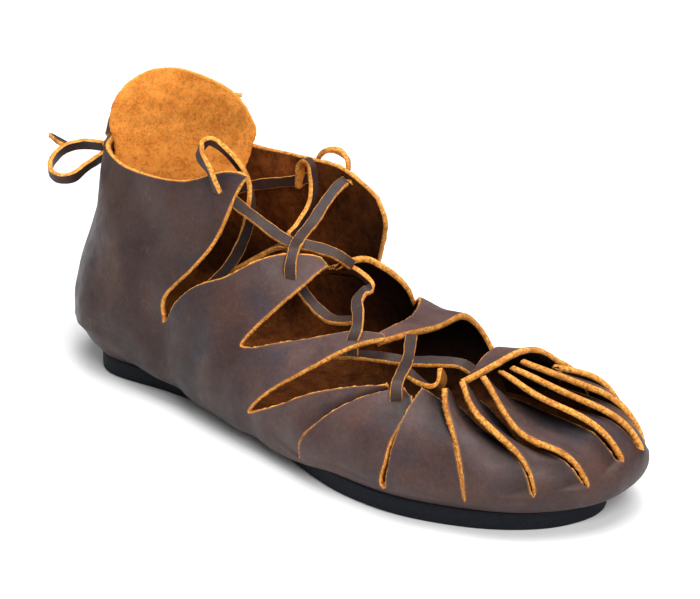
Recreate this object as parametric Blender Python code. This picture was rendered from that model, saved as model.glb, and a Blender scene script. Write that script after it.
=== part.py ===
"""A right-foot laced leather sandal cut from one hide, on a flat foam sole.

Tables are in millimetres, measured from the back of the sole's heel:
+X runs to the toe, +Y to the inner (medial) side of the foot, +Z up from the ground.
The model is built in metres with its origin on the ground under the middle of the sole.
"""

from collections import namedtuple

import bmesh
import bpy
import numpy as np

MM = 0.001

# Driving sizes
SOLE_LENGTH = 262.0
SOLE_THICKNESS = 8.0
SOLE_EDGE_ROUND = 1.2
LEATHER = 2.3
SEAT_GAP = 0.3
THONG_WIDTH = 4.6
THONG_THICKNESS = 2.0
ORIGIN_X = SOLE_LENGTH / 2
FLOOR_Z = SOLE_THICKNESS + SEAT_GAP

# Mesh density
OUTLINE_STEPS = 6
RIM_ROWS = 4
TAB_ROWS = 9
TAB_COLUMN_MM = 8.0
LEAST_COLUMNS = 3
RIB_SAMPLES = 28
THONG_STEP = 5.0
THONG_FINE = 8
LEAST_THONG_STEPS = 4
KNOT_SEGMENTS = 12
KNOT_RINGS = 8

# Tab tips narrow from this share of their length on, by this much; some petals are blunter
TIP_START = 0.75
TIP_ROUND = 0.75
BLUNT_TIPS = {5: 0.3, 6: 0.45}

# Ribs run from the edge of the floor, out round the bulge and up to a crown or collar point.
# foot: floor edge; bulge, bulge_z: how far and how high the leather swells; sag: droop below it;
# full: 1 is a straight wall, 2 an elliptical one. Rows go heel, outer side, toe, inner side.
Rib = namedtuple("Rib", "foot_x foot_y bulge sag bulge_z full crown_x crown_y crown_z")
RIBS = [
    Rib(0, 0, 15, -2.5, 19, 1.05, 1.7, 0, 95),
    Rib(9, -19.5, 15, -2.5, 19, 1.05, 10.5, -16.9, 95),
    Rib(27, -34.5, 9.5, -4, 21, 1.1, 34, -29, 94),
    Rib(62, -30, 12, 2, 24, 1.15, 72, -31, 98),
    Rib(92, -29, 15, 6, 23, 1.35, 103, -21, 105.5),
    Rib(122, -33, 15, 6, 22, 1.8, 130, -3, 72),
    Rib(152, -42, 9, 5, 20, 1.9, 152, -6, 62),
    Rib(181, -47, 6, -1, 19, 2.0, 174, -12, 54),
    Rib(210, -44, 6, -1.5, 18, 2.0, 190, -16, 48),
    Rib(238, -31, 8, -1, 18, 2.0, 201, -10, 47),
    Rib(256, -13, 10, 0, 19, 2.0, 208, -3, 47),
    Rib(262, 7, 13, 0, 20, 2.0, 211, 5, 47),
    Rib(256, 22, 15, 0, 20, 2.0, 210, 12, 48),
    Rib(238, 35, 13, 0, 20, 2.1, 205, 18, 49),
    Rib(210, 45, 9, 0, 19, 2.3, 211, -9, 50),
    Rib(180, 45, 8, 0, 20, 2.3, 175, -11, 56),
    Rib(150, 36, 9, 2, 21, 2.1, 154, -2, 63),
    Rib(120, 27, 12, 5, 23, 1.8, 132, 3, 72),
    Rib(92, 23, 14, 5, 24, 1.35, 106, 30, 99),
    Rib(62, 26, 12, 1, 24, 1.15, 74, 30, 97),
    Rib(31, 29, 13, -4, 24, 1.1, 34, 28, 94),
    Rib(9, 18, 15, -3, 20, 1.05, 10.3, 17.1, 94),
]
RIB_TABLE = np.array(RIBS, float)
RIB_COUNT = len(RIBS)

# The inner quarter stands up straight beside the instep straps, so it has its own rib there.
INNER_EAR_RIB = 17
QUARTER_TABLE = RIB_TABLE.copy()
QUARTER_TABLE[INNER_EAR_RIB] = Rib(120, 27, 12, 5, 23, 1.25, 131, 31, 84)

# Each slit parts two tabs of the hide. Points are (rib number, share of the rib's length): the slit's
# bottom, then the edge of the tab before it, and of the tab after it, from low to tip.
Slit = namedtuple("Slit", "bottom before_low before_mid before_tip after_low after_mid after_tip")
SLITS = [
    Slit((3.14, .37), (3.18, .50), (3.87, .72), (4.00, .985), (3.55, .51), (4.33, .66), (4.88, .97)),
    Slit((4.91, .48), (5.05, .60), (5.16, .75), (5.13, .97), (5.33, .53), (5.99, .68), (6.78, .96)),
    Slit((5.36, .24), (5.70, .37), (6.35, .60), (6.95, .94), (5.95, .34), (6.75, .50), (7.55, .69)),
    Slit((6.36, .10), (6.46, .22), (6.90, .42), (7.66, .71), (6.50, .22), (6.96, .42), (7.80, .74)),
    Slit((7.81, .08), (7.86, .30), (7.97, .60), (8.14, .77), (7.92, .30), (8.08, .59), (8.26, .79)),
    Slit((8.85, .11), (8.77, .40), (8.68, .64), (8.68, .80), (8.83, .40), (8.75, .64), (8.77, .80)),
    Slit((9.72, .18), (9.60, .38), (9.18, .62), (9.08, .81), (9.66, .38), (9.27, .62), (9.20, .87)),
    Slit((10.46, .21), (10.22, .36), (9.70, .54), (9.72, .90), (10.30, .37), (9.80, .54), (9.88, .91)),
    Slit((11.12, .28), (11.03, .46), (10.70, .68), (10.60, .92), (11.10, .46), (10.78, .68), (10.74, .93)),
    Slit((11.66, .28), (11.54, .46), (11.34, .68), (11.20, .93), (11.60, .46), (11.42, .68), (11.34, .93)),
    Slit((12.30, .22), (12.20, .44), (12.02, .68), (11.86, .93), (12.26, .44), (12.10, .68), (12.00, .92)),
    Slit((13.00, .16), (12.94, .42), (12.80, .66), (12.66, .90), (13.00, .42), (12.90, .62), (12.86, .78)),
    Slit((13.70, .14), (13.62, .36), (13.54, .52), (13.44, .64), (13.76, .40), (13.84, .62), (13.88, .98)),
    Slit((15.20, .20), (14.76, .38), (14.38, .64), (14.22, .98), (15.30, .38), (15.26, .64), (15.04, .97)),
    Slit((16.30, .50), (16.05, .62), (15.65, .81), (15.30, .97), (16.36, .63), (16.74, .78), (16.96, .97)),
    Slit((18.86, .37), (18.10, .445), (17.28, .56), (16.98, .94), (18.10, .465), (17.24, .585), (17.05, .86)),
]

# The inner ear's front edge turns back to this corner of the collar, which rounds it off
INNER_EAR_CORNER = (17.36, 0.95)
HEEL_RIB = 0.0
COLLAR_SHARE = 1.0
ROOT_SHARE = 0.1

# The round-topped tab that stands inside the heel: rows from the floor up.
# centre: where its middle lies; half_width; bow: how far the middle bends back from the edges.
TabRow = namedtuple("TabRow", "centre_x centre_y z half_width bow")
HEEL_TAB_ROWS = [
    TabRow(19.0, 0.0, 11.2, 15.0, 5.0),
    TabRow(13.0, 1.0, 18.0, 18.0, 9.0),
    TabRow(13.0, 1.5, 30.0, 20.0, 10.0),
    TabRow(17.0, 2.5, 50.0, 22.0, 10.0),
    TabRow(23.2, 4.1, 70.0, 25.0, 9.0),
    TabRow(27.2, 5.2, 81.0, 26.4, 8.5),
    TabRow(29.8, 6.1, 90.0, 27.4, 8.0),
    TabRow(31.0, 6.3, 96.0, 28.4, 7.7),
    TabRow(31.0, 6.3, 100.0, 30.4, 7.4),
    TabRow(30.6, 6.0, 105.0, 29.8, 7.0),
    TabRow(30.1, 5.5, 110.7, 27.7, 6.3),
    TabRow(29.7, 5.1, 115.5, 24.4, 5.4),
    TabRow(29.2, 4.7, 119.0, 20.8, 4.6),
    TabRow(28.3, 3.9, 122.5, 14.8, 3.6),
    TabRow(27.6, 3.3, 124.8, 8.2, 2.6),
    TabRow(27.4, 3.2, 126.0, 3.2, 2.0),
]
HEEL_TAB_TURN = np.radians(42.0)
HEEL_TAB_COLUMNS = 10

# Lace routes: points on the thong's middle line, chosen by hand, and the way its grain side faces, once
# for the whole route or once for each point.
Route = namedtuple("Route", "points faces")
INSTEP_CROSSINGS = [
    Route(
        [(102, -17, 84.9), (109.7, -12, 78.4), (114.6, -9, 76), (120, -5, 75.1), (127.6, 0, 73)],
        (0.3, -0.6, 0.75),
    ),
    Route(
        [
            (107, 26, 91), (107.5, 17, 86.1), (110.5, 6, 80.2), (114.2, -3.5, 78),
            (117.2, -9.3, 77), (120.3, -13.6, 77), (122.5, -16.5, 76.4),
        ],
        [
            (0.2, -0.9, 0.4), (0.5, -0.7, 0.5), (0.5, -0.5, 0.7), (0.5, -0.5, 0.7),
            (0.5, -0.5, 0.7), (0.5, -0.6, 0.6), (0.5, -0.6, 0.6),
        ],
    ),
    Route(
        [(116.5, -7, 73.9), (109, -5.5, 72), (102, -6, 70), (92, -9, 63.3), (80.6, -12.8, 54.8)],
        (-0.6, -0.2, 0.75),
    ),
]
MIDFOOT_CROSSINGS = [
    Route(
        [
            (127.8, 8.5, 64.6), (139.7, 5, 65.3), (149.6, 0, 64.6), (150, -5, 63.6),
            (151.5, -9.5, 61.5), (157.5, -15, 59.3), (164, -22, 57.4),
        ],
        [
            (0.1, -0.9, -0.4), (0.1, -0.9, -0.4), (0.1, -0.9, 0.0), (0.0, -0.8, 0.5),
            (0.2, -0.6, 0.7), (0.2, -0.5, 0.8), (0.3, -0.5, 0.8),
        ],
    ),
    Route(
        [(121.4, -13, 61), (130.7, -14.5, 56.4), (142.2, -16, 53.6), (151, -15.5, 55), (157.5, -14.8, 57.6)],
        (0.3, -0.3, 0.9),
    ),
]
TOE_CROSSINGS = [
    Route([(177, -6, 48.8), (180.5, -10, 47.8), (185, -16, 47.2), (195, -31, 47.2)], (0.4, -0.3, 0.85)),
    Route([(182, -13, 46.4), (190, -10, 47.8), (197, -7, 48.8), (203, -4, 48.8)], (0.3, -0.3, 0.9)),
    Route(
        [
            (187.4, -19.6, 46.3), (190.6, -18.5, 44.5), (193.8, -17, 42.4), (197.2, -15, 40.9),
            (199.2, -13, 41.2), (199.2, -11, 43.1), (197, -9, 46),
        ],
        [
            (0.4, -0.3, 0.85), (0.4, 0, 0.9), (0.3, 0.3, 0.8), (0.1, 0.6, 0.7),
            (-0.4, 0.7, 0.5), (-0.7, 0.4, 0.4), (-0.7, 0.2, 0.5),
        ],
    ),
]
COLLAR_BAR = Route([(42, 25.5, 71.5), (52, 26.4, 75.5), (62, 27, 79), (78, 27.4, 84.1)], (0.1, -1, 0.2))
OUTER_EAR_LOOP = Route(
    [
        (94.5, -31, 98), (92.2, -33, 106.8), (85.9, -32, 110.9), (81.6, -28, 112.9), (82.7, -24, 115.1),
        (87.2, -20, 111), (91.8, -17, 104.9), (95.1, -15, 98.7), (95.3, -14, 90.1), (92.1, -13, 78.3),
        (86.8, -14, 65.7), (82.3, -18, 56.6), (75, -25, 46),
    ],
    [
        (-0.2, -0.9, 0.2), (-0.5, -0.8, 0.1), (-0.7, -0.5, 0.4), (-0.8, 0.1, 0.5), (-0.6, 0.5, 0.6),
        (-0.1, 0.8, 0.5), (0.2, 0.9, 0.2), (0.6, 0.8, 0.1), (0.9, 0.3, 0.1), (0.8, -0.4, 0.3),
        (0.7, -0.5, 0.4), (0.6, -0.4, 0.5), (0.6, -0.4, 0.5),
    ],
)
INNER_EAR_LOOP = Route(
    [
        (83.4, 34.3, 89), (84.2, 34.3, 93.6), (87.7, 34.3, 97.3), (92.8, 34.3, 99.4),
        (97.9, 34.3, 99.7), (101.5, 34.3, 97.7), (102.1, 34.3, 93.5),
    ],
    [
        (-0.73, -0.68, 0), (-0.7, -0.5, 0.3), (-0.48, -0.18, 0.48), (0, 0.38, 0.68),
        (0.48, 0.7, 0.48), (0.7, 0.7, 0.2), (0.73, 0.68, 0),
    ],
)
INNER_STRAND = Route(
    [
        (80.8, 26.9, 82.3), (81.6, 26.2, 88.1), (83.1, 25.4, 92.7), (86.8, 25, 95.8), (90.4, 24.5, 94.3),
        (91.8, 24, 89.9), (94, 22, 84.5), (96, 18, 79.5), (98.2, 12, 76.3), (99.9, 6, 73.5),
        (101.4, 1, 72.6),
    ],
    [
        (-1, -0.15, 0), (-1, -0.15, 0), (-0.8, -0.1, 0.5), (0, 0, 1), (0.8, 0.1, 0.5),
        (1, 0.15, 0), (1, 0.15, 0), (0.9, 0.25, 0), (0.9, 0.3, 0), (0.9, 0.3, 0),
        (0.9, 0.2, 0),
    ],
)
KNOT_CENTRE = (-5.8, 0, 86)
KNOT_RADII = (4.6, 6.0, 5.0)
BOW_OUTER_LOOP = Route(
    [
        (-4.7, -7.2, 87.6), (-12.5, -11.9, 87.6), (-16, -19.3, 86.4), (-14, -27.9, 83.5), (-9.2, -32.6, 81),
        (-3.7, -32.7, 79.5), (0, -27.9, 79.9), (-0.8, -20.3, 82.2), (-4.7, -7.4, 83.2),
    ],
    [
        (-0.4, 0.9, 0.3), (-0.5, 0.8, 0.3), (-0.9, 0.2, 0.2), (-0.7, -0.7, 0), (-0.2, -0.9, -0.2),
        (0.3, -0.9, -0.3), (0.8, -0.6, -0.3), (0.9, 0.1, -0.2), (0.9, 0.3, -0.2),
    ],
)
BOW_INNER_LOOP = Route(
    [
        (-4.7, 6.7, 87.6), (-9, 15, 93), (-14, 22, 91), (-17, 26, 83),
        (-14, 22, 76), (-9, 15, 76), (-4.7, 6.9, 83.2),
    ],
    (-0.9, -0.5, 0),
)
BOW_OUTER_END = Route([(-11, -2, 86), (-18, -5, 83.5), (-28, -7.5, 82), (-42, -6, 83)], (0, 0.3, 1))
BOW_INNER_END = Route(
    [(-11, 2, 89), (-16, 12, 97), (-11, 27, 100), (2, 42, 101.5), (18, 52, 102)],
    (-0.3, 0.2, 1),
)


def catmull_rom(points, count):
    """Points evenly placed by parameter on a smooth curve through the given points."""
    points = np.asarray(points, float)
    padded = np.vstack([2 * points[0] - points[1], points, 2 * points[-1] - points[-2]])
    places = np.linspace(0, len(points) - 1, count)
    spans = np.minimum(places.astype(int), len(points) - 2)
    share = (places - spans)[:, None]
    before, start, end, after = (padded[spans + k] for k in range(4))
    return 0.5 * (
        2 * start
        + (end - before) * share
        + (2 * before - 5 * start + 4 * end - after) * share**2
        + (3 * start - before - 3 * end + after) * share**3
    )


def rib_values(table, places):
    """The rib table's columns at fractional rib numbers, round the closed outline."""
    places = np.asarray(places, float) % RIB_COUNT
    index = np.floor(places).astype(int)
    share = (places - index)[:, None]
    before, start, end, after = (table[(index + k) % RIB_COUNT] for k in (-1, 0, 1, 2))
    return 0.5 * (
        2 * start
        + (end - before) * share
        + (2 * before - 5 * start + 4 * end - after) * share**2
        + (3 * start - before - 3 * end + after) * share**3
    )


def outward(table, places):
    """Unit plan vectors pointing out of the floor's edge."""
    step = 0.001
    along = rib_values(table, np.add(places, step)) - rib_values(table, np.subtract(places, step))
    across = np.stack([along[:, 1], -along[:, 0]], axis=1)
    return across / np.linalg.norm(across, axis=1)[:, None]


def hide_points(table, places, shares):
    """Points on the outside of the hide at rib numbers and shares of each rib's length."""
    places = np.asarray(places, float)
    values = rib_values(table, places)
    out = outward(table, places)
    foot, bulge, sag = values[:, :2], values[:, 2:3], values[:, 3:4]
    bulge_z, power = values[:, 4:5], 2 / values[:, 5:6]
    crown = values[:, 6:9]

    turn = np.linspace(0, np.pi / 2, RIB_SAMPLES)[None]
    low_xy = foot[:, None] + out[:, None] * (bulge * np.sin(turn))[:, :, None]
    low_z = FLOOR_Z + (bulge_z - FLOOR_Z) * (1 - np.cos(turn)) - sag * np.sin(2 * turn)
    start_xy = foot + out * bulge
    inwards = 1 - np.cos(turn[:, 1:]) ** power
    upwards = np.sin(turn[:, 1:]) ** power
    high_xy = start_xy[:, None] + (crown[:, :2] - start_xy)[:, None] * inwards[:, :, None]
    high_z = bulge_z + (crown[:, 2:3] - bulge_z) * upwards
    line = np.concatenate(
        [np.dstack([low_xy, low_z]), np.dstack([high_xy, high_z])],
        axis=1,
    )
    lengths = np.linalg.norm(np.diff(line, axis=1), axis=2)
    travelled = np.concatenate([np.zeros((len(line), 1)), np.cumsum(lengths, axis=1)], axis=1)
    wanted = np.asarray(shares) * travelled[:, -1]
    return np.array(
        [
            [np.interp(mark, marks, points[:, axis]) for axis in range(3)]
            for mark, marks, points in zip(wanted, travelled, line)
        ]
    )


def hide_normals(table, places, shares):
    """Unit normals pointing out of the hide; straight down along the edge of the floor."""
    places, shares = np.asarray(places, float), np.asarray(shares, float)
    step_round, step_up = 0.02, 0.01
    low, high = np.clip(shares - step_up, 0, 1), np.clip(shares + step_up, 0, 1)
    up = hide_points(table, places, high) - hide_points(table, places, low)
    ahead = hide_points(table, places + step_round, shares)
    around = ahead - hide_points(table, places - step_round, shares)
    normals = np.cross(around, up)
    normals /= np.linalg.norm(normals, axis=1)[:, None]
    normals[shares < 1e-6] = (0, 0, -1)
    return normals


def tab_grid(back_edge, front_edge, columns, tip_round):
    """(row, column, rib number and share) between a tab's edges, from its root to its rounded tip."""
    back = catmull_rom(back_edge, TAB_ROWS + 1)
    front = catmull_rom(front_edge, TAB_ROWS + 1)
    rows = np.linspace(0, 1, TAB_ROWS + 1)
    past = np.clip((rows - TIP_START) / (1 - TIP_START), 0, 1)
    narrow = np.sqrt(1 - tip_round * past**2)[:, None, None]
    across = 0.5 + (np.linspace(0, 1, columns + 1)[None, :, None] - 0.5) * narrow
    return back[:, None] * (1 - across) + front[:, None] * across


def quarter_grid(front_edge, heel_place, root_share):
    """A quarter from the heel's middle to its front edge, whose top is the collar."""
    columns = columns_between(front_edge[0], (heel_place, root_share))
    edge = catmull_rom(front_edge, TAB_ROWS + 1)
    rows = np.linspace(0, 1, TAB_ROWS + 1)
    heel_shares = root_share + (COLLAR_SHARE - root_share) * rows
    heel = np.stack([np.full_like(rows, heel_place), heel_shares], axis=1)
    across = np.linspace(0, 1, columns + 1)[None, :, None]
    return heel[:, None] * (1 - across) + edge[:, None] * across


def edge_before(slit):
    """The edge of the tab that ends at a slit."""
    return [slit.bottom, slit.before_low, slit.before_mid, slit.before_tip]


def edge_after(slit):
    """The edge of the tab that starts at a slit."""
    return [slit.bottom, slit.after_low, slit.after_mid, slit.after_tip]


def tab_grids():
    """All tabs of the hide in order round the floor, each with the rib table that shapes it."""
    root_share = SLITS[0].bottom[1]
    outer_quarter = quarter_grid(edge_before(SLITS[0]), HEEL_RIB, root_share)
    inner_edge = edge_after(SLITS[-1]) + [INNER_EAR_CORNER]
    inner_quarter = quarter_grid(inner_edge, RIB_COUNT + HEEL_RIB, root_share)
    tabs = [(RIB_TABLE, outer_quarter)]
    for number, (slit, following) in enumerate(zip(SLITS, SLITS[1:]), 1):
        columns = columns_between(slit.bottom, following.bottom)
        tip_round = BLUNT_TIPS.get(number, TIP_ROUND)
        tabs.append((RIB_TABLE, tab_grid(edge_after(slit), edge_before(following), columns, tip_round)))
    tabs.append((QUARTER_TABLE, inner_quarter[:, ::-1]))
    return tabs


def columns_between(start, end):
    """How many columns a tab gets for the width of its root."""
    places = [start[0], (start[0] + end[0]) / 2, end[0]]
    points = hide_points(RIB_TABLE, places, np.full(len(places), ROOT_SHARE))
    width = np.linalg.norm(np.diff(points, axis=0), axis=1).sum()
    return max(LEAST_COLUMNS, round(width / TAB_COLUMN_MM))


def to_model(points):
    """Table millimetres to the model's metres."""
    return (np.asarray(points, float) - (ORIGIN_X, 0, 0)) * MM


def new_object(name, points, faces, material):
    """A mesh object from table points, with its normals turned outwards."""
    mesh = bpy.data.meshes.new(name)
    mesh.from_pydata([tuple(p) for p in to_model(points)], [], [tuple(map(int, f)) for f in faces])
    work = bmesh.new()
    work.from_mesh(mesh)
    bmesh.ops.recalc_face_normals(work, faces=work.faces)
    work.to_mesh(mesh)
    work.free()
    mesh.materials.append(material)
    piece = bpy.data.objects.new(name, mesh)
    bpy.context.scene.collection.objects.link(piece)
    return piece


def new_material(name, colour, roughness):
    """A plain Principled material."""
    material = bpy.data.materials.new(name)
    material.use_nodes = True
    shader = material.node_tree.nodes["Principled BSDF"]
    shader.inputs["Base Color"].default_value = (*colour, 1)
    shader.inputs["Roughness"].default_value = roughness
    return material


def thicken(outer, inner, faces):
    """A closed shell: the outer faces, the inner ones turned round, and a wall along open edges."""
    count = len(outer)
    shell = [list(face) for face in faces]
    shell += [[v + count for v in reversed(face)] for face in faces]
    edges = {}
    for face in faces:
        for start, end in zip(face, face[1:] + face[:1]):
            edges[(start, end)] = True
    for start, end in edges:
        if (end, start) not in edges:
            shell.append([end, start, start + count, end + count])
    return np.vstack([outer, inner]), shell


def build_upper(material):
    """One hide: floor, turned-up rim and all tabs, as a single hollow wall."""
    outer, inner, faces, seen = [], [], [], {}

    def vertex(table, place, share):
        key = (round(place % RIB_COUNT, 5), round(share, 5))
        if table is QUARTER_TABLE and place < INNER_EAR_RIB + 2 and share > SLITS[-1].bottom[1]:
            key += ("quarter",)
        if key not in seen:
            seen[key] = len(outer)
            point = hide_points(table, [place], [share])[0]
            outer.append(point)
            inner.append(point - LEATHER * hide_normals(table, [place], [share])[0])
        return seen[key]

    floor_loop = []
    for table, grid in tab_grids():
        root = grid[0]
        rim = [
            [vertex(table, place, share * row / RIM_ROWS) for place, share in root]
            for row in range(RIM_ROWS + 1)
        ]
        tab = [[vertex(table, place, share) for place, share in row] for row in grid]
        for rows in (rim, tab):
            for low, high in zip(rows, rows[1:]):
                for a, b, c, d in zip(low, low[1:], high[1:], high):
                    corners = [v for v, after in zip((a, b, c, d), (b, c, d, a)) if v != after]
                    faces.append(corners)
        floor_loop += rim[0][:-1]
    faces.append(list(reversed(floor_loop)))
    points, shell = thicken(np.array(outer), np.array(inner), faces)
    return new_object("upper", points, shell, material)


def build_outsole(material):
    """A flat sole with the floor's outline and softly rounded lower edge."""
    places = np.arange(RIB_COUNT * OUTLINE_STEPS) / OUTLINE_STEPS
    edge = rib_values(RIB_TABLE, places)[:, :2]
    inset = edge - outward(RIB_TABLE, places) * SOLE_EDGE_ROUND
    rings = [(inset, 0.0), (edge, SOLE_EDGE_ROUND), (edge, SOLE_THICKNESS)]
    points = np.vstack([np.column_stack([ring, np.full(len(ring), z)]) for ring, z in rings])
    count = len(places)
    faces = [list(range(count)), list(reversed(range(2 * count, 3 * count)))]
    for ring in range(len(rings) - 1):
        for i in range(count):
            after = (i + 1) % count
            low = ring * count
            faces.append([low + i, low + after, low + count + after, low + count + i])
    return new_object("outsole", points, faces, material)


def build_heel_tab(material):
    """The tab folded up inside the heel, turned to face the outer side and the toe."""
    rows = catmull_rom(HEEL_TAB_ROWS, 2 * len(HEEL_TAB_ROWS) - 1)
    along = np.array([np.cos(HEEL_TAB_TURN), np.sin(HEEL_TAB_TURN), 0])
    back = np.array([-np.sin(HEEL_TAB_TURN), np.cos(HEEL_TAB_TURN), 0])
    across = np.linspace(-1, 1, HEEL_TAB_COLUMNS + 1)
    front = np.array(
        [
            np.array([x, y, z]) + along * half * s + back * bow * (1 - s * s)
            for x, y, z, half, bow in rows
            for s in across
        ]
    )
    width = HEEL_TAB_COLUMNS + 1
    faces = [
        [r * width + c, r * width + c + 1, (r + 1) * width + c + 1, (r + 1) * width + c]
        for r in range(len(rows) - 1)
        for c in range(HEEL_TAB_COLUMNS)
    ]
    points, shell = thicken(front, front + back * LEATHER, faces)
    return new_object("heel_tab", points, shell, material)


def thong_shape(route):
    """Points and faces of a flat thong swept along its route, with closed ends."""
    faces = route.faces if isinstance(route.faces, list) else [route.faces] * len(route.points)
    rough = catmull_rom(route.points, len(route.points) * THONG_FINE)
    rough_facing = catmull_rom(faces, len(route.points) * THONG_FINE)
    travelled = np.concatenate([[0], np.cumsum(np.linalg.norm(np.diff(rough, axis=0), axis=1))])
    steps = max(LEAST_THONG_STEPS, round(travelled[-1] / THONG_STEP))
    marks = np.linspace(0, travelled[-1], steps + 1)
    line, facing = (
        np.stack([np.interp(marks, travelled, values[:, axis]) for axis in range(3)], axis=1)
        for values in (rough, rough_facing)
    )
    along = np.gradient(line, axis=0)
    along /= np.linalg.norm(along, axis=1)[:, None]
    face = facing - along * np.sum(along * facing, axis=1)[:, None]
    face /= np.linalg.norm(face, axis=1)[:, None]
    wide = np.cross(along, face) * THONG_WIDTH / 2
    deep = face * THONG_THICKNESS / 2
    corners = [line - wide - deep, line + wide - deep, line + wide + deep, line - wide + deep]
    points = np.stack(corners, axis=1)
    faces = [[0, 1, 2, 3], [4 * steps + k for k in (3, 2, 1, 0)]]
    for ring in range(steps):
        for k in range(4):
            after = (k + 1) % 4
            low = 4 * ring
            faces.append([low + k, low + 4 + k, low + 4 + after, low + after])
    return points.reshape(-1, 3), faces


def build_thong(name, route, material):
    """One stretch of lace."""
    return new_object(name, *thong_shape(route), material)


def build_crossings(name, routes, material):
    """Lace strands that lie on one another, joined where they cross."""
    joined = build_thong(name, routes[0], material)
    for number, route in enumerate(routes[1:], 2):
        strand = build_thong(f"{name}_strand_{number}", route, material)
        strand.hide_render = True
        strand.display_type = "WIRE"
        union = joined.modifiers.new(f"join_{number}", "BOOLEAN")
        union.operation = "UNION"
        union.solver = "EXACT"
        union.object = strand
    return joined


def build_knot(material):
    """The bow's knot against the back of the heel."""
    work = bmesh.new()
    bmesh.ops.create_uvsphere(work, u_segments=KNOT_SEGMENTS, v_segments=KNOT_RINGS, radius=1)
    points = [np.asarray(KNOT_CENTRE) + np.asarray(v.co) * KNOT_RADII for v in work.verts]
    faces = [[v.index for v in face.verts] for face in work.faces]
    work.free()
    return new_object("lace_bow_knot", points, faces, material)


def main():
    for old in list(bpy.data.objects):
        bpy.data.objects.remove(old)
    leather = new_material("oiled_leather", colour=(0.055, 0.038, 0.032), roughness=0.5)
    suede = new_material("flesh_leather", colour=(0.36, 0.16, 0.05), roughness=0.9)
    foam = new_material("foam_rubber", colour=(0.012, 0.013, 0.017), roughness=0.8)
    thong = new_material("lace_leather", colour=(0.075, 0.045, 0.03), roughness=0.6)
    build_outsole(foam)
    build_upper(leather)
    build_heel_tab(suede)
    build_crossings("lace_instep", INSTEP_CROSSINGS, thong)
    build_crossings("lace_midfoot", MIDFOOT_CROSSINGS, thong)
    build_crossings("lace_toe", TOE_CROSSINGS, thong)
    build_thong("lace_collar_bar", COLLAR_BAR, thong)
    build_thong("lace_outer_ear_loop", OUTER_EAR_LOOP, thong)
    build_thong("lace_inner_ear_loop", INNER_EAR_LOOP, thong)
    build_thong("lace_inner_strand", INNER_STRAND, thong)
    build_knot(thong)
    build_thong("lace_bow_outer_loop", BOW_OUTER_LOOP, thong)
    build_thong("lace_bow_inner_loop", BOW_INNER_LOOP, thong)
    build_thong("lace_bow_outer_end", BOW_OUTER_END, thong)
    build_thong("lace_bow_inner_end", BOW_INNER_END, thong)


main()
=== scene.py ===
"""Looks of a right-foot laced leather sandal: the hide, its thongs, the heel tab and the foam sole.

Tables are in millimetres, measured from the back of the sole's heel:
+X runs to the toe, +Y to the inner (medial) side of the foot, +Z up from the ground.
Pieces are built in metres, with the origin on the ground under the middle of the sole.
"""

import math
from collections import namedtuple

import bmesh
import bpy
import numpy as np
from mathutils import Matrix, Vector
from mathutils.kdtree import KDTree


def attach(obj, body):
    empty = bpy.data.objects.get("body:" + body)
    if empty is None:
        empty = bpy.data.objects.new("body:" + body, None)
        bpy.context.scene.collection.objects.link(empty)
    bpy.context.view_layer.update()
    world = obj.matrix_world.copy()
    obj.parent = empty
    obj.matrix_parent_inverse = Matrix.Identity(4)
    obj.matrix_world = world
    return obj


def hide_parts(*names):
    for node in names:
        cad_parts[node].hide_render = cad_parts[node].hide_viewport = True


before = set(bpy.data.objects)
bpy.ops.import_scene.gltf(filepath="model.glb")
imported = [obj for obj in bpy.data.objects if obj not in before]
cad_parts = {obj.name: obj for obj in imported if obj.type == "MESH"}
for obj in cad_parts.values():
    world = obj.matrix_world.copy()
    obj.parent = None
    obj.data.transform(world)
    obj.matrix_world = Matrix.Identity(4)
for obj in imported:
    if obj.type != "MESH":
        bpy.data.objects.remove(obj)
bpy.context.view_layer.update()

MM = 0.001

# Driving sizes
SOLE_LENGTH = 262.0
SOLE_THICKNESS = 8.0
LEATHER = 2.3
SEAT_GAP = 0.3
THONG_WIDTH = 4.6
THONG_THICKNESS = 2.0
ORIGIN_X = SOLE_LENGTH / 2
FLOOR_Z = SOLE_THICKNESS + SEAT_GAP

# Mesh density
RIM_ROWS = 14
TAB_ROWS = 46
TAB_COLUMN_MM = 1.3
LEAST_COLUMNS = 10
TAB_SHARES = np.linspace(0, 1, TAB_ROWS + 1)
ROOT_SAMPLES = 8
RIB_SAMPLES = 40
THONG_STEP = 1.2
THONG_FINE = 24
LEAST_STEPS = 8
OUTLINE_STEPS = 16
HEEL_TAB_COLUMNS = 56
HEEL_TAB_FINE = 6

# Steps for slopes, in rib numbers and shares, and what counts as nothing
OUTLINE_STEP = 0.001
STEP_ROUND = 0.02
STEP_UP = 0.01
TINY = 1e-6
KEY_DIGITS = 5

# Tab tips narrow from this share of their length on, by this much; some petals are blunter
TIP_START = 0.75
TIP_ROUND = 0.75
BLUNT_TIPS = {5: 0.3, 6: 0.45}

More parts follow.
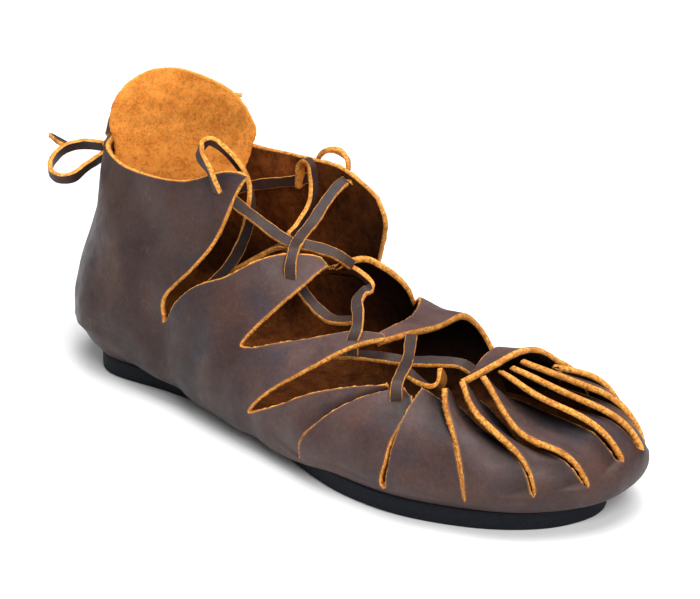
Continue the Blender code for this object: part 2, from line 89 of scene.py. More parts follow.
# Ribs run from the edge of the floor, out round the bulge and up to a crown or collar point.
# foot: floor edge; bulge, bulge_z: how far and how high the leather swells; sag: droop below it;
# full: 1 is a straight wall, 2 an elliptical one. Rows go heel, outer side, toe, inner side.
Rib = namedtuple("Rib", "foot_x foot_y bulge sag bulge_z full crown_x crown_y crown_z")
RIBS = [
    Rib(0, 0, 15, -2.5, 19, 1.05, 1.7, 0, 95),
    Rib(9, -19.5, 15, -2.5, 19, 1.05, 10.5, -16.9, 95),
    Rib(27, -34.5, 9.5, -4, 21, 1.1, 34, -29, 94),
    Rib(62, -30, 12, 2, 24, 1.15, 72, -31, 98),
    Rib(92, -29, 15, 6, 23, 1.35, 103, -21, 105.5),
    Rib(122, -33, 15, 6, 22, 1.8, 130, -3, 72),
    Rib(152, -42, 9, 5, 20, 1.9, 152, -6, 62),
    Rib(181, -47, 6, -1, 19, 2.0, 174, -12, 54),
    Rib(210, -44, 6, -1.5, 18, 2.0, 190, -16, 48),
    Rib(238, -31, 8, -1, 18, 2.0, 201, -10, 47),
    Rib(256, -13, 10, 0, 19, 2.0, 208, -3, 47),
    Rib(262, 7, 13, 0, 20, 2.0, 211, 5, 47),
    Rib(256, 22, 15, 0, 20, 2.0, 210, 12, 48),
    Rib(238, 35, 13, 0, 20, 2.1, 205, 18, 49),
    Rib(210, 45, 9, 0, 19, 2.3, 211, -9, 50),
    Rib(180, 45, 8, 0, 20, 2.3, 175, -11, 56),
    Rib(150, 36, 9, 2, 21, 2.1, 154, -2, 63),
    Rib(120, 27, 12, 5, 23, 1.8, 132, 3, 72),
    Rib(92, 23, 14, 5, 24, 1.35, 106, 30, 99),
    Rib(62, 26, 12, 1, 24, 1.15, 74, 30, 97),
    Rib(31, 29, 13, -4, 24, 1.1, 34, 28, 94),
    Rib(9, 18, 15, -3, 20, 1.05, 10.3, 17.1, 94),
]
RIB_TABLE = np.array(RIBS, float)
RIB_COUNT = len(RIBS)

# Round the heel the worn hide lifts a little more off the sole's edge: by rib number, in millimetres
HEEL_LIFT = {0: 2.0, 1: 2.4, 2: 2.0, 21: 2.0}
for rib, lift in HEEL_LIFT.items():
    RIB_TABLE[rib, Rib._fields.index("sag")] -= lift

# The inner quarter stands up straight beside the instep straps, so it has its own rib there.
INNER_EAR_RIB = 17
QUARTER_TABLE = RIB_TABLE.copy()
QUARTER_TABLE[INNER_EAR_RIB] = Rib(120, 27, 12, 5, 23, 1.25, 131, 31, 84)

# Each slit parts two tabs of the hide. Points are (rib number, share of the rib's length): the slit's
# bottom, then the edge of the tab before it, and of the tab after it, from low to tip.
Slit = namedtuple("Slit", "bottom before_low before_mid before_tip after_low after_mid after_tip")
SLITS = [
    Slit((3.14, .37), (3.18, .50), (3.87, .72), (4.00, .985), (3.55, .51), (4.33, .66), (4.88, .97)),
    Slit((4.91, .48), (5.05, .60), (5.16, .75), (5.13, .97), (5.33, .53), (5.99, .68), (6.78, .96)),
    Slit((5.36, .24), (5.70, .37), (6.35, .60), (6.95, .94), (5.95, .34), (6.75, .50), (7.55, .69)),
    Slit((6.36, .10), (6.46, .22), (6.90, .42), (7.66, .71), (6.50, .22), (6.96, .42), (7.80, .74)),
    Slit((7.81, .08), (7.86, .30), (7.97, .60), (8.14, .77), (7.92, .30), (8.08, .59), (8.26, .79)),
    Slit((8.85, .11), (8.77, .40), (8.68, .64), (8.68, .80), (8.83, .40), (8.75, .64), (8.77, .80)),
    Slit((9.72, .18), (9.60, .38), (9.18, .62), (9.08, .81), (9.66, .38), (9.27, .62), (9.20, .87)),
    Slit((10.46, .21), (10.22, .36), (9.70, .54), (9.72, .90), (10.30, .37), (9.80, .54), (9.88, .91)),
    Slit((11.12, .28), (11.03, .46), (10.70, .68), (10.60, .92), (11.10, .46), (10.78, .68), (10.74, .93)),
    Slit((11.66, .28), (11.54, .46), (11.34, .68), (11.20, .93), (11.60, .46), (11.42, .68), (11.34, .93)),
    Slit((12.30, .22), (12.20, .44), (12.02, .68), (11.86, .93), (12.26, .44), (12.10, .68), (12.00, .92)),
    Slit((13.00, .16), (12.94, .42), (12.80, .66), (12.66, .90), (13.00, .42), (12.90, .62), (12.86, .78)),
    Slit((13.70, .14), (13.62, .36), (13.54, .52), (13.44, .64), (13.76, .40), (13.84, .62), (13.88, .98)),
    Slit((15.20, .20), (14.76, .38), (14.38, .64), (14.22, .98), (15.30, .38), (15.26, .64), (15.04, .97)),
    Slit((16.30, .50), (16.05, .62), (15.65, .81), (15.30, .97), (16.36, .63), (16.74, .78), (16.96, .97)),
    Slit((18.86, .37), (18.10, .445), (17.28, .56), (16.98, .94), (18.10, .465), (17.24, .585), (17.05, .86)),
]

# The inner ear's front edge turns back to this corner of the collar, which rounds it off
INNER_EAR_CORNER = (17.36, 0.95)

# The rib in the heel's middle, the collar's share of it, and the share where a tab's width is measured
HEEL_RIB = 0.0
COLLAR_SHARE = 1.0
ROOT_SHARE = 0.1

# Toe petals lie like roof tiles: each falls away from its first edge to pass under the next petal.
# low, mid and tip are the fall at the petal's far edge, curl lifts its first edge, and under is the
# share of its width that the next petal covers.
Fold = namedtuple("Fold", "low mid tip curl under")
FOLDS = {
    3: Fold(0.6, 2.6, 3.0, 0.0, 0.03),
    4: Fold(0.3, 2.4, 3.2, 0.2, 0.10),
    5: Fold(1.0, 4.2, 5.6, 0.3, 0.38),
    6: Fold(2.8, 7.4, 8.4, 0.6, 0.30),
    7: Fold(2.2, 6.4, 7.8, 0.8, 0.30),
    8: Fold(2.4, 7.6, 8.0, 1.0, 0.35),
    9: Fold(1.8, 6.2, 6.5, 1.4, 0.35),
    10: Fold(1.4, 5.0, 6.0, 1.4, 0.35),
    11: Fold(1.2, 4.4, 5.5, 1.2, 0.30),
    12: Fold(0.6, 3.0, 3.5, 0.8, 0.0),
}
NO_FOLD = Fold(0, 0, 0, 0, 0)

# A petal curls up over a share of its width and length, and tucks under between two shares of its length
CURL_SHARE = 0.25
CURL_FULL = 0.5
UNDER_START = 0.35
UNDER_FULL = 0.75

# Just above its slit a petal drops by a share of its middle fall, within a share of its length
SLIT_DROP = 0.28
SLIT_DROP_LENGTH = 0.035

# First edges of the petals and straps: how much thicker they are frayed, fading over the fray's width,
# and how far the cut slants out
CutEdge = namedtuple("CutEdge", "thicker slant")
FIRST_EDGES = {
    6: CutEdge(0.0, 1.4),
    7: CutEdge(0.0, 0.9),
    8: CutEdge(0.0, 0.8),
    9: CutEdge(0.0, 0.7),
    10: CutEdge(0.1, 0.5),
    11: CutEdge(0.1, 0.5),
    12: CutEdge(0.1, 0.4),
    13: CutEdge(0.2, 0.1),
    14: CutEdge(0.5, 0.2),
    15: CutEdge(0.3, 0.1),
}
PLAIN_EDGE = CutEdge(0.0, 0.0)
FRAY_WIDTH = 2.5

# Drape of single tabs: how far in x, y and z their first and far edges move, in even steps to the tip
Drape = namedtuple("Drape", "first far")
STILL = (0, 0, 0)
NO_DRAPE = Drape([STILL, STILL], [STILL, STILL])
DRAPES = {
    12: Drape([STILL, STILL, (0, 0, -1), (-1, 0, -3)], [STILL, STILL, (0, 0, -1), (-1, 0, -3)]),
    13: Drape(
        [STILL, STILL, (0, 0, 0.5), (0, 0, 4.6), (-1, -6, -3)],
        [STILL, (0, 0, -2.5), (0, 0, -6), (0, 0, -1), (0, 4, -4.3)],
    ),
    14: Drape(
        [STILL, STILL, (0, 0, 1.4), (0, 0, -4.6), (-4, -7, -5)],
        [STILL, (0, 0, -1.5), (0, 0, -6), (0, 0, -7), (-4, -6, -5)],
    ),
    15: Drape(
        [STILL, (0, 0, 2.3), (0, 0, 4.8), (-1, -2, 3.6), (-3, -10, -3.5)],
        [
            STILL, (0, 0, 1.3), (0, 0, 1.4), (0, 0, 0.9), (0, 0, 0.5),
            (0, -0.5, 0.2), (0, -2, 0), (-0.4, -4.5, -1.6), (-1, -8, -4),
        ],
    ),
}

# Slits gape near their bottoms: half the opening in millimetres, by slit number, the share of the slit's
# length where it is full, the share over which it closes again, and how far apart the ribs are
GAPES = {0: 0.8, 1: 0.8, 2: 0.8, 3: 0.6, 4: 1.3, 5: 0.5, 6: 0.9, 7: 0.9, 8: 1.0, 9: 0.9, 10: 0.7, 11: 0.6}
GAPE_FULL = 0.03
GAPE_CLOSED = 0.42
RIB_SPACING = 28.0

# Creases worn into the hide: soft troughs between two places (rib number, share), their depth and width
Crease = namedtuple("Crease", "start end depth width")
CREASES = [
    Crease((3.16, 0.36), (3.45, 0.06), 1.1, 7.0),
    Crease((4.90, 0.46), (4.70, 0.20), 0.8, 6.0),
    Crease((5.34, 0.22), (5.28, 0.12), 0.4, 5.0),
    Crease((0.70, 0.20), (2.70, 0.17), 0.9, 5.0),
    Crease((0.60, 0.80), (2.10, 0.50), 0.8, 10.0),
    Crease((2.20, 0.92), (3.40, 0.62), 0.7, 9.0),
    Crease((6.60, 0.30), (7.70, 0.26), 0.6, 5.0),
    Crease((18.84, 0.36), (18.60, 0.08), 1.4, 7.0),
    Crease((20.10, 0.50), (21.40, 0.80), 0.8, 10.0),
]
CREASE_SAMPLES = 24
CREASE_SHOULDER = 0.35
CREASE_SHOULDER_AT = 2.0

# Soft waves of the whole hide: direction and number of waves per metre, and height
Wave = namedtuple("Wave", "x y z phase height")
WAVES = [
    Wave(21, 9, 14, 0.4, 0.35),
    Wave(-12, 26, 17, 1.9, 0.30),
    Wave(33, -19, 8, 4.1, 0.25),
    Wave(8, 31, -29, 2.6, 0.25),
]

# Creases and waves fade out towards the floor's edge below this share of a rib
RELIEF_FULL = 0.12

# Painted shade on the flesh side: soft round patches, in stops brighter or darker
Patch = namedtuple("Patch", "x y z radius stops")
FLESH_SHADE_PATCHES = [
    Patch(22, 32, 26, 30, -1.6),
    Patch(60, 28, 16, 26, -1.7),
    Patch(142, 14, 60, 30, -2.0),
    Patch(142, 38, 11, 14, -1.2),
    Patch(150, 40, 34, 22, -2.4),
    Patch(176, 10, 50, 30, -2.6),
    Patch(176, 48, 24, 22, -1.8),
    Patch(208, 6, 38, 26, -1.4),
]
# Painted shade on the grain side of the toe's petals, where they are gathered, in the same way
PETAL_SHADE_PATCHES = [
    Patch(204, 0, 47, 22, -1.5),
    Patch(204, -17, 45, 9, -1.5),
]

# Painted shade darkens folded grain: it starts at this fall of the leather, in millimetres, and is full at
# that one
SUNK_START = 0.6
SUNK_FULL = 4.6
SUNK_SHADE_STOPS = -3.2

# The round-topped tab that stands inside the heel: rows from the floor up.
# centre: where its middle lies; half_width; bow: how far the middle bends back from the edges.
TabRow = namedtuple("TabRow", "centre_x centre_y z half_width bow")
HEEL_TAB_ROWS = [
    TabRow(19.0, 0.0, 11.2, 15.0, 5.0),
    TabRow(13.0, 1.0, 18.0, 18.0, 9.0),
    TabRow(13.0, 1.5, 30.0, 20.0, 10.0),
    TabRow(17.0, 2.5, 50.0, 22.0, 10.0),
    TabRow(23.2, 4.1, 70.0, 25.0, 9.0),
    TabRow(27.2, 5.2, 81.0, 26.4, 8.5),
    TabRow(29.8, 6.1, 90.0, 27.4, 8.0),
    TabRow(31.0, 6.3, 96.0, 28.4, 7.7),
    TabRow(31.0, 6.3, 100.0, 30.4, 7.4),
    TabRow(30.6, 6.0, 105.0, 29.8, 7.0),
    TabRow(30.1, 5.5, 110.7, 27.7, 6.3),
    TabRow(29.7, 5.1, 115.5, 24.4, 5.4),
    TabRow(29.2, 4.7, 119.0, 20.8, 4.6),
    TabRow(28.3, 3.9, 122.5, 14.8, 3.6),
    TabRow(27.6, 3.3, 124.8, 8.2, 2.6),
    TabRow(27.4, 3.2, 126.0, 3.2, 2.0),
]
HEEL_TAB_TURN = np.radians(42.0)

# The tab's edges lie a little wider against the quarters: height, and how far out to either side.
# They are also pared thinner.
Spread = namedtuple("Spread", "z outer inner")
HEEL_TAB_SPREAD = np.array(
    [
        Spread(50, 0, 0),
        Spread(70, 0, 1.8),
        Spread(81, 0, 2.4),
        Spread(90, 0.5, 2.0),
        Spread(96, 1.2, 1.8),
        Spread(100, 0.2, 0.6),
        Spread(105, 0, 0),
        Spread(119, 0, 0),
        Spread(122.5, 0.5, 0.5),
        Spread(124.8, 2.0, 2.0),
        Spread(126, 3.4, 3.4),
    ]
)
HEEL_TAB_PARED = 1.1

# Lace routes: points on the thong's middle line and the way its grain side faces, once for the whole route
# or once for each point. into and out_of are the runs hidden in the slits at its ends.
Route = namedtuple("Route", "points faces into out_of", defaults=([], []))
INSTEP_CROSSINGS = [
    Route(
        [(102, -17, 84.9), (109.7, -12, 78.4), (114.6, -9, 76), (120, -5, 75.1), (127.6, 0, 73)],
        (0.3, -0.6, 0.75),
        into=[(88, -20.5, 93), (94.3, -19.3, 89.1)],
        out_of=[(131, 3, 70.5), (133, 6, 67.5)],
    ),
    Route(
        [
            (107, 26, 91), (107.5, 17, 86.1), (110.5, 6, 80.2), (114.2, -3.5, 78),
            (117.2, -9.3, 77), (120.3, -13.6, 77), (122.5, -16.5, 76.4),
        ],
        [
            (0.2, -0.9, 0.4), (0.5, -0.7, 0.5), (0.5, -0.5, 0.7), (0.5, -0.5, 0.7),
            (0.5, -0.5, 0.7), (0.5, -0.6, 0.6), (0.5, -0.6, 0.6),
        ],
        into=[(106.5, 30.5, 89)],
        out_of=[(124.5, -20, 72), (124.5, -20, 66)],
    ),
    Route(
        [(116.5, -7, 73.9), (109, -5.5, 72), (102, -6, 70), (92, -9, 63.3), (80.6, -12.8, 54.8)],
        (-0.6, -0.2, 0.75),
        out_of=[(74, -15, 50)],
    ),
]
MIDFOOT_CROSSINGS = [
    Route(
        [
            (127.8, 8.5, 64.6), (139.7, 5, 65.3), (149.6, 0, 64.6), (150, -5, 63.6),
            (151.5, -9.5, 61.5), (157.5, -15, 59.3), (164, -22, 57.4),
        ],
        [
            (0.1, -0.9, -0.4), (0.1, -0.9, -0.4), (0.1, -0.9, 0.0), (0.0, -0.8, 0.5),
            (0.2, -0.6, 0.7), (0.2, -0.5, 0.8), (0.3, -0.5, 0.8),
        ],
        into=[(122, 11, 62.5)],
        out_of=[(165.5, -26, 53.5), (165.5, -26, 48)],
    ),
    Route(
        [(121.4, -13, 61), (130.7, -14.5, 56.4), (142.2, -16, 53.6), (151, -15.5, 55), (157.5, -14.8, 57.6)],
        (0.3, -0.3, 0.9),
        into=[(115, -14, 64.5)],
    ),
]
TOE_CROSSINGS = [
    Route(
        [(177, -6, 48.8), (180.5, -10, 47.8), (185, -16, 47.2), (195, -31, 47.2)],
        (0.4, -0.3, 0.85),
        into=[(172, 0, 50)],
        out_of=[(197, -34, 44), (197, -34, 38)],
    ),
    Route(
        [(182, -13, 46.4), (190, -10, 47.8), (197, -7, 48.8), (203, -4, 48.8)],
        (0.3, -0.3, 0.9),
        into=[(148, -24, 42), (158, -21.5, 44.5), (170, -17.5, 46)],
        out_of=[(208, 0, 45)],
    ),
    Route(
        [
            (187.4, -19.6, 46.3), (190.6, -18.5, 44.5), (193.8, -17, 42.4), (197.2, -15, 40.9),
            (199.2, -13, 41.2), (199.2, -11, 43.1), (197, -9, 46),
        ],
        [
            (0.4, -0.3, 0.85), (0.4, 0, 0.9), (0.3, 0.3, 0.8), (0.1, 0.6, 0.7),
            (-0.4, 0.7, 0.5), (-0.7, 0.4, 0.4), (-0.7, 0.2, 0.5),
        ],
    ),
]
COLLAR_BAR = Route(
    [(42, 25.5, 71.5), (52, 26.4, 75.5), (62, 27, 79), (78, 27.4, 84.1)],
    (0.1, -1, 0.2),
    into=[(38, 29, 69)],
    out_of=[(85, 31, 87)],
)
OUTER_EAR_LOOP = Route(
    [
        (94.5, -31, 98), (92.2, -33, 106.8), (85.9, -32, 110.9), (81.6, -28, 112.9), (82.7, -24, 115.1),
        (87.2, -20, 111), (91.8, -17, 104.9), (95.1, -15, 98.7), (95.3, -14, 90.1), (92.1, -13, 78.3),
        (86.8, -14, 65.7), (82.3, -18, 56.6), (75, -25, 46),
    ],
    [
        (-0.2, -0.9, 0.2), (-0.5, -0.8, 0.1), (-0.7, -0.5, 0.4), (-0.8, 0.1, 0.5), (-0.6, 0.5, 0.6),
        (-0.1, 0.8, 0.5), (0.2, 0.9, 0.2), (0.6, 0.8, 0.1), (0.9, 0.3, 0.1), (0.8, -0.4, 0.3),
        (0.7, -0.5, 0.4), (0.6, -0.4, 0.5), (0.6, -0.4, 0.5),
    ],
)
INNER_EAR_LOOP = Route(
    [
        (83.4, 34.3, 89), (84.2, 34.3, 93.6), (87.7, 34.3, 97.3), (92.8, 34.3, 99.4),
        (97.9, 34.3, 99.7), (101.5, 34.3, 97.7), (102.1, 34.3, 93.5),
    ],
    [
        (-0.73, -0.68, 0), (-0.7, -0.5, 0.3), (-0.48, -0.18, 0.48), (0, 0.38, 0.68),
        (0.48, 0.7, 0.48), (0.7, 0.7, 0.2), (0.73, 0.68, 0),
    ],
    into=[(83.2, 34.3, 87)],
)
INNER_STRAND = Route(
    [
        (80.8, 26.9, 82.3), (81.6, 26.2, 88.1), (83.1, 25.4, 92.7), (86.8, 25, 95.8), (90.4, 24.5, 94.3),
        (91.8, 24, 89.9), (94, 22, 84.5), (96, 18, 79.5), (98.2, 12, 76.3), (99.9, 6, 73.5),
        (101.4, 1, 72.6),
    ],
    [
        (-1, -0.15, 0), (-1, -0.15, 0), (-0.8, -0.1, 0.5), (0, 0, 1), (0.8, 0.1, 0.5),
        (1, 0.15, 0), (1, 0.15, 0), (0.9, 0.25, 0), (0.9, 0.3, 0), (0.9, 0.3, 0),
        (0.9, 0.2, 0),
    ],
)
KNOT_CENTRE = (-5.8, 0, 86)
KNOT_RADII = (4.6, 6.0, 5.0)
BOW_OUTER_LOOP = Route(
    [
        (-4.7, -7.2, 87.6), (-12.5, -11.9, 87.6), (-16, -19.3, 86.4), (-14, -27.9, 83.5), (-9.2, -32.6, 81),
        (-3.7, -32.7, 79.5), (0, -27.9, 79.9), (-0.8, -20.3, 82.2), (-4.7, -7.4, 83.2),
    ],
    [
        (-0.4, 0.9, 0.3), (-0.5, 0.8, 0.3), (-0.9, 0.2, 0.2), (-0.7, -0.7, 0), (-0.2, -0.9, -0.2),
        (0.3, -0.9, -0.3), (0.8, -0.6, -0.3), (0.9, 0.1, -0.2), (0.9, 0.3, -0.2),
    ],
)
BOW_INNER_LOOP = Route(
    [
        (-4.7, 6.7, 87.6), (-9, 15, 93), (-14, 22, 91), (-17, 26, 83),
        (-14, 22, 76), (-9, 15, 76), (-4.7, 6.9, 83.2),
    ],
    (-0.9, -0.5, 0),
)
BOW_OUTER_END = Route([(-11, -2, 86), (-18, -5, 83.5), (-28, -7.5, 82), (-42, -6, 83)], (0, 0.3, 1))
BOW_INNER_END = Route(
    [(-11, 2, 89), (-16, 12, 97), (-11, 27, 100), (2, 42, 101.5), (18, 52, 102)],
    (-0.3, 0.2, 1),
)

# Camera: the photo's viewing direction in degrees, aimed at a point of the shoe in metres
CAMERA_AZIMUTH = 45.39
CAMERA_ELEVATION = 21.99
CAMERA_DISTANCE = 1.17
CAMERA_TARGET = (-0.0119, 0.0184, 0.0452)
CAMERA_LENS = 147.0
SENSOR_WIDTH = 36.0

# Studio: soft square lights, a pale floor and a bright surround, in metres and watts
Light = namedtuple("Light", "name place aim size power")
LIGHTS = [
    Light("top_softbox", (0.0, 0.1, 1.2), (0, 0, 0), 1.1, 21),
    Light("front_softbox", (1.05, -0.50, 0.90), (0, 0, 0.05), 0.8, 19),
    Light("back_softbox", (-1.00, -0.25, 0.70), (-0.1, 0, 0), 0.8, 3),
]
FLOOR_SIZE = 8.0
FLOOR_COLOUR = (0.86, 0.86, 0.86)
FLOOR_ROUGHNESS = 0.9
WORLD_LIGHT = 0.22


# Curves and the hide's own surface

def spline(before, start, end, after, share):
    """Points at a share of the way from start to end, on a smooth curve through all four."""
    return 0.5 * (
        2 * start
        + (end - before) * share
        + (2 * before - 5 * start + 4 * end - after) * share**2
        + (3 * start - before - 3 * end + after) * share**3
    )


def smooth_curve(points, count):
    """Points evenly placed by parameter on a smooth curve through the given points."""
    points = np.asarray(points, float)
    padded = np.vstack([2 * points[0] - points[1], points, 2 * points[-1] - points[-2]])
    places = np.linspace(0, len(points) - 1, count)
    spans = np.minimum(places.astype(int), len(points) - 2)
    return spline(*(padded[spans + k] for k in range(4)), (places - spans)[:, None])


def travelled_along(line):
    """Lengths travelled to each point of a line, or of several lines at once."""
    lengths = np.linalg.norm(np.diff(line, axis=-2), axis=-1)
    start = np.zeros(lengths.shape[:-1] + (1,))
    return np.concatenate([start, np.cumsum(lengths, axis=-1)], axis=-1)


def smooth(share):
    """A soft step from 0 to 1."""
    share = np.clip(share, 0, 1)
    return share * share * (3 - 2 * share)


def unit(vectors):
    """Vectors scaled to length 1."""
    return vectors / np.maximum(np.linalg.norm(vectors, axis=-1, keepdims=True), TINY**2)


def rib_values(table, places):
    """The rib table's columns at fractional rib numbers, round the closed outline."""
    places = np.asarray(places, float) % RIB_COUNT
    index = np.floor(places).astype(int)
    neighbours = (table[(index + k) % RIB_COUNT] for k in (-1, 0, 1, 2))
    return spline(*neighbours, (places - index)[:, None])


def outward(table, places):
    """Unit plan vectors pointing out of the floor's edge."""
    ahead = rib_values(table, np.add(places, OUTLINE_STEP))
    along = ahead - rib_values(table, np.subtract(places, OUTLINE_STEP))
    return unit(np.stack([along[:, 1], -along[:, 0]], axis=1))


def hide_points(table, places, shares):
    """Points on the outside of the hide at rib numbers and shares of each rib's length."""
    rib = Rib(*rib_values(table, places).T[:, :, None])
    out = outward(table, places)
    foot = np.hstack([rib.foot_x, rib.foot_y])
    crown = np.hstack([rib.crown_x, rib.crown_y])
    power = 2 / rib.full

    turn = np.linspace(0, np.pi / 2, RIB_SAMPLES)[None]
    low_xy = foot[:, None] + out[:, None] * (rib.bulge * np.sin(turn))[:, :, None]
    low_z = FLOOR_Z + (rib.bulge_z - FLOOR_Z) * (1 - np.cos(turn)) - rib.sag * np.sin(2 * turn)
    start = foot + out * rib.bulge
    inwards = 1 - np.cos(turn[:, 1:]) ** power
    upwards = np.sin(turn[:, 1:]) ** power
    high_xy = start[:, None] + (crown - start)[:, None] * inwards[:, :, None]
    high_z = rib.bulge_z + (rib.crown_z - rib.bulge_z) * upwards
    lines = np.concatenate([np.dstack([low_xy, low_z]), np.dstack([high_xy, high_z])], axis=1)
    travelled = travelled_along(lines)
    wanted = np.asarray(shares) * travelled[:, -1]
    return np.array(
        [
            [np.interp(mark, marks, line[:, axis]) for axis in range(3)]
            for mark, marks, line in zip(wanted, travelled, lines)
        ]
    )


def hide_normals(table, places, shares):
    """Unit normals pointing out of the hide; straight down along the edge of the floor."""
    low, high = np.clip(shares - STEP_UP, 0, 1), np.clip(shares + STEP_UP, 0, 1)
    up = hide_points(table, places, high) - hide_points(table, places, low)
    ahead = hide_points(table, places + STEP_ROUND, shares)
    around = ahead - hide_points(table, places - STEP_ROUND, shares)
    normals = unit(np.cross(around, up))
    normals[shares < TINY] = (0, 0, -1)
    return normals


def edge_before(slit):
    """The edge of the tab that ends at a slit."""
    return [slit.bottom, slit.before_low, slit.before_mid, slit.before_tip]


def edge_after(slit):
    """The edge of the tab that starts at a slit."""
    return [slit.bottom, slit.after_low, slit.after_mid, slit.after_tip]


def shares_across(start_place, end_place):
    """Shares across a tab, one for each of the columns that its root has room for."""
    places = np.linspace(start_place, end_place, ROOT_SAMPLES)
    root = hide_points(RIB_TABLE, places, np.full(ROOT_SAMPLES, ROOT_SHARE))
    width = travelled_along(root)[-1]
    return np.linspace(0, 1, max(LEAST_COLUMNS, round(width / TAB_COLUMN_MM)) + 1)


def between(first, far, across):
    """A grid of points between two edges, row by row."""
    return first[:, None] * (1 - across) + far[:, None] * across


def gape(slit_number):
    """Half the opening near a slit's bottom, in rib numbers, along the slit."""
    opening = np.sqrt(np.clip(TAB_SHARES / GAPE_FULL, 0, 1))
    opening *= 1 - smooth((TAB_SHARES - GAPE_FULL) / GAPE_CLOSED)
    return GAPES.get(slit_number, 0) / RIB_SPACING * opening


def tab_grid(number, slit, following):
    """(row, column, rib number and share) between two slits, from the tab's root to its rounded tip."""
    first, far = (smooth_curve(edge, len(TAB_SHARES)) for edge in (edge_after(slit), edge_before(following)))
    past = np.clip((TAB_SHARES - TIP_START) / (1 - TIP_START), 0, 1)
    narrow = np.sqrt(1 - BLUNT_TIPS.get(number, TIP_ROUND) * past**2)[:, None]
    across = shares_across(slit.bottom[0], following.bottom[0])[None]
    grid = between(first, far, (0.5 + (across - 0.5) * narrow)[:, :, None])
    grid[:, :, 0] += gape(number - 1)[:, None] * (1 - across)
    grid[:, :, 0] -= gape(number)[:, None] * across
    return grid


def quarter_grid(front_edge, heel_place, root_share):
    """A quarter from the heel's middle to its front edge, whose top is the collar."""
    heel_shares = root_share + (COLLAR_SHARE - root_share) * TAB_SHARES
    heel = np.stack([np.full_like(TAB_SHARES, heel_place), heel_shares], axis=1)
    across = shares_across(front_edge[0][0], heel_place)
    return between(heel, smooth_curve(front_edge, len(TAB_SHARES)), across[None, :, None])


def tab_grids():
    """All tabs of the hide in order round the floor, and whether each is the inner quarter."""
    root_share = SLITS[0].bottom[1]
    inner_edge = edge_after(SLITS[-1]) + [INNER_EAR_CORNER]
    inner_quarter = quarter_grid(inner_edge, RIB_COUNT + HEEL_RIB, root_share)
    tabs = [(False, quarter_grid(edge_before(SLITS[0]), HEEL_RIB, root_share))]
    for number, (slit, following) in enumerate(zip(SLITS, SLITS[1:]), 1):
        tabs.append((False, tab_grid(number, slit, following)))
    tabs.append((True, inner_quarter[:, ::-1]))
    return tabs


def tuck_under(tab_number, grid):
    """A petal's grid widened so that its far side reaches under the next petal."""
    under = FOLDS.get(tab_number, NO_FOLD).under
    grow = under * smooth((TAB_SHARES - UNDER_START) / (UNDER_FULL - UNDER_START))
    across = np.linspace(0, 1, grid.shape[1])
    return grid + (grid[:, -1:] - grid[:, :1]) * (grow[:, None] * across[None])[:, :, None]


def drape_shifts(tab_number, columns):
    """How far each point of a tab's grid moves by its drape."""
    drape = DRAPES.get(tab_number, NO_DRAPE)
    first, far = (smooth_curve(shifts, len(TAB_SHARES)) for shifts in drape)
    return between(first, far, np.linspace(0, 1, columns)[None, :, None])


def fold_depths(tab_number, columns):
    """How far each point of a tab's grid sinks below the plain hide."""
    fold = FOLDS.get(tab_number, NO_FOLD)
    up = TAB_SHARES[:, None]
    across = np.linspace(0, 1, columns)[None]
    fall = smooth_curve([(0,), (fold.low,), (fold.mid,), (fold.tip,)], len(TAB_SHARES))
    fall = np.maximum(fall, SLIT_DROP * fold.mid * smooth(up / SLIT_DROP_LENGTH))
    curl = fold.curl * smooth(up / CURL_FULL) * smooth(1 - across / CURL_SHARE)
    return fall * smooth(across) - curl


def wave_heights(points):
    """The soft unevenness of the hide at table points."""
    heights = np.zeros(len(points))
    for wave in WAVES:
        turns = points @ np.array([wave.x, wave.y, wave.z]) * MM * 2 * np.pi
        heights += wave.height * np.sin(turns + wave.phase)
    return heights


def crease_heights(points):
    """Troughs with soft shoulders along the creases, at table points."""
    heights = np.zeros(len(points))
    for crease in CREASES:
        share = np.linspace(0, 1, CREASE_SAMPLES)[:, None]
        places = np.array(crease.start) * (1 - share) + np.array(crease.end) * share
        line = hide_points(RIB_TABLE, places[:, 0], places[:, 1])
        away = np.min([np.linalg.norm(points - p, axis=1) for p in line], axis=0) / crease.width
        shoulder = CREASE_SHOULDER * np.exp(-((away - CREASE_SHOULDER_AT) ** 2))
        heights += crease.depth * (shoulder - np.exp(-(away**2)))
    return heights


def patch_shade_stops(points, patches):
    """How many stops of painted shade, brighter or darker, table points get from the patches round them."""
    stops = np.zeros(len(points))
    for patch in patches:
        away = np.linalg.norm(points - (patch.x, patch.y, patch.z), axis=1) / patch.radius
        stops += patch.stops * np.exp(-(away**2))
    return stops


# Meshes

def to_model(points):
    """Table millimetres to the model's metres."""
    return (np.asarray(points, float) - (ORIGIN_X, 0, 0)) * MM


def add_object(name, data):
    """A new object in the scene."""
    made = bpy.data.objects.new(name, data)
    bpy.context.scene.collection.objects.link(made)
    return made


def new_piece(name, points, faces, material_numbers, materials, flat=()):
    """A mesh piece from table points, smooth inside each material and sharp between them."""
    mesh = bpy.data.meshes.new(name)
    mesh.from_pydata(to_model(points).tolist(), [], faces)
    for material in materials:
        mesh.materials.append(material)
    mesh.polygons.foreach_set("material_index", np.asarray(material_numbers, np.int32))
    mesh.shade_smooth()
    work = bmesh.new()
    work.from_mesh(mesh)
    work.faces.ensure_lookup_table()
    for number in flat:
        work.faces[number].smooth = False
        for edge in work.faces[number].edges:
            edge.smooth = False
    for edge in work.edges:
        if len({face.material_index for face in edge.link_faces}) > 1:
            edge.smooth = False
    work.to_mesh(mesh)
    work.free()
    piece = add_object(name, mesh)
    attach(piece, "root")
    return piece


def set_attribute(piece, name, values):
    """A number for each vertex, for the materials to read."""
    attribute = piece.data.attributes.new(name, "FLOAT", "POINT")
    attribute.data.foreach_set("value", np.asarray(values, np.float32))


def ring_faces(rings, count):
    """Quads between closed rings of count points each."""
    return [
        [low + k, low + (k + 1) % count, low + count + (k + 1) % count, low + count + k]
        for low in range(0, (rings - 1) * count, count)
        for k in range(count)
    ]


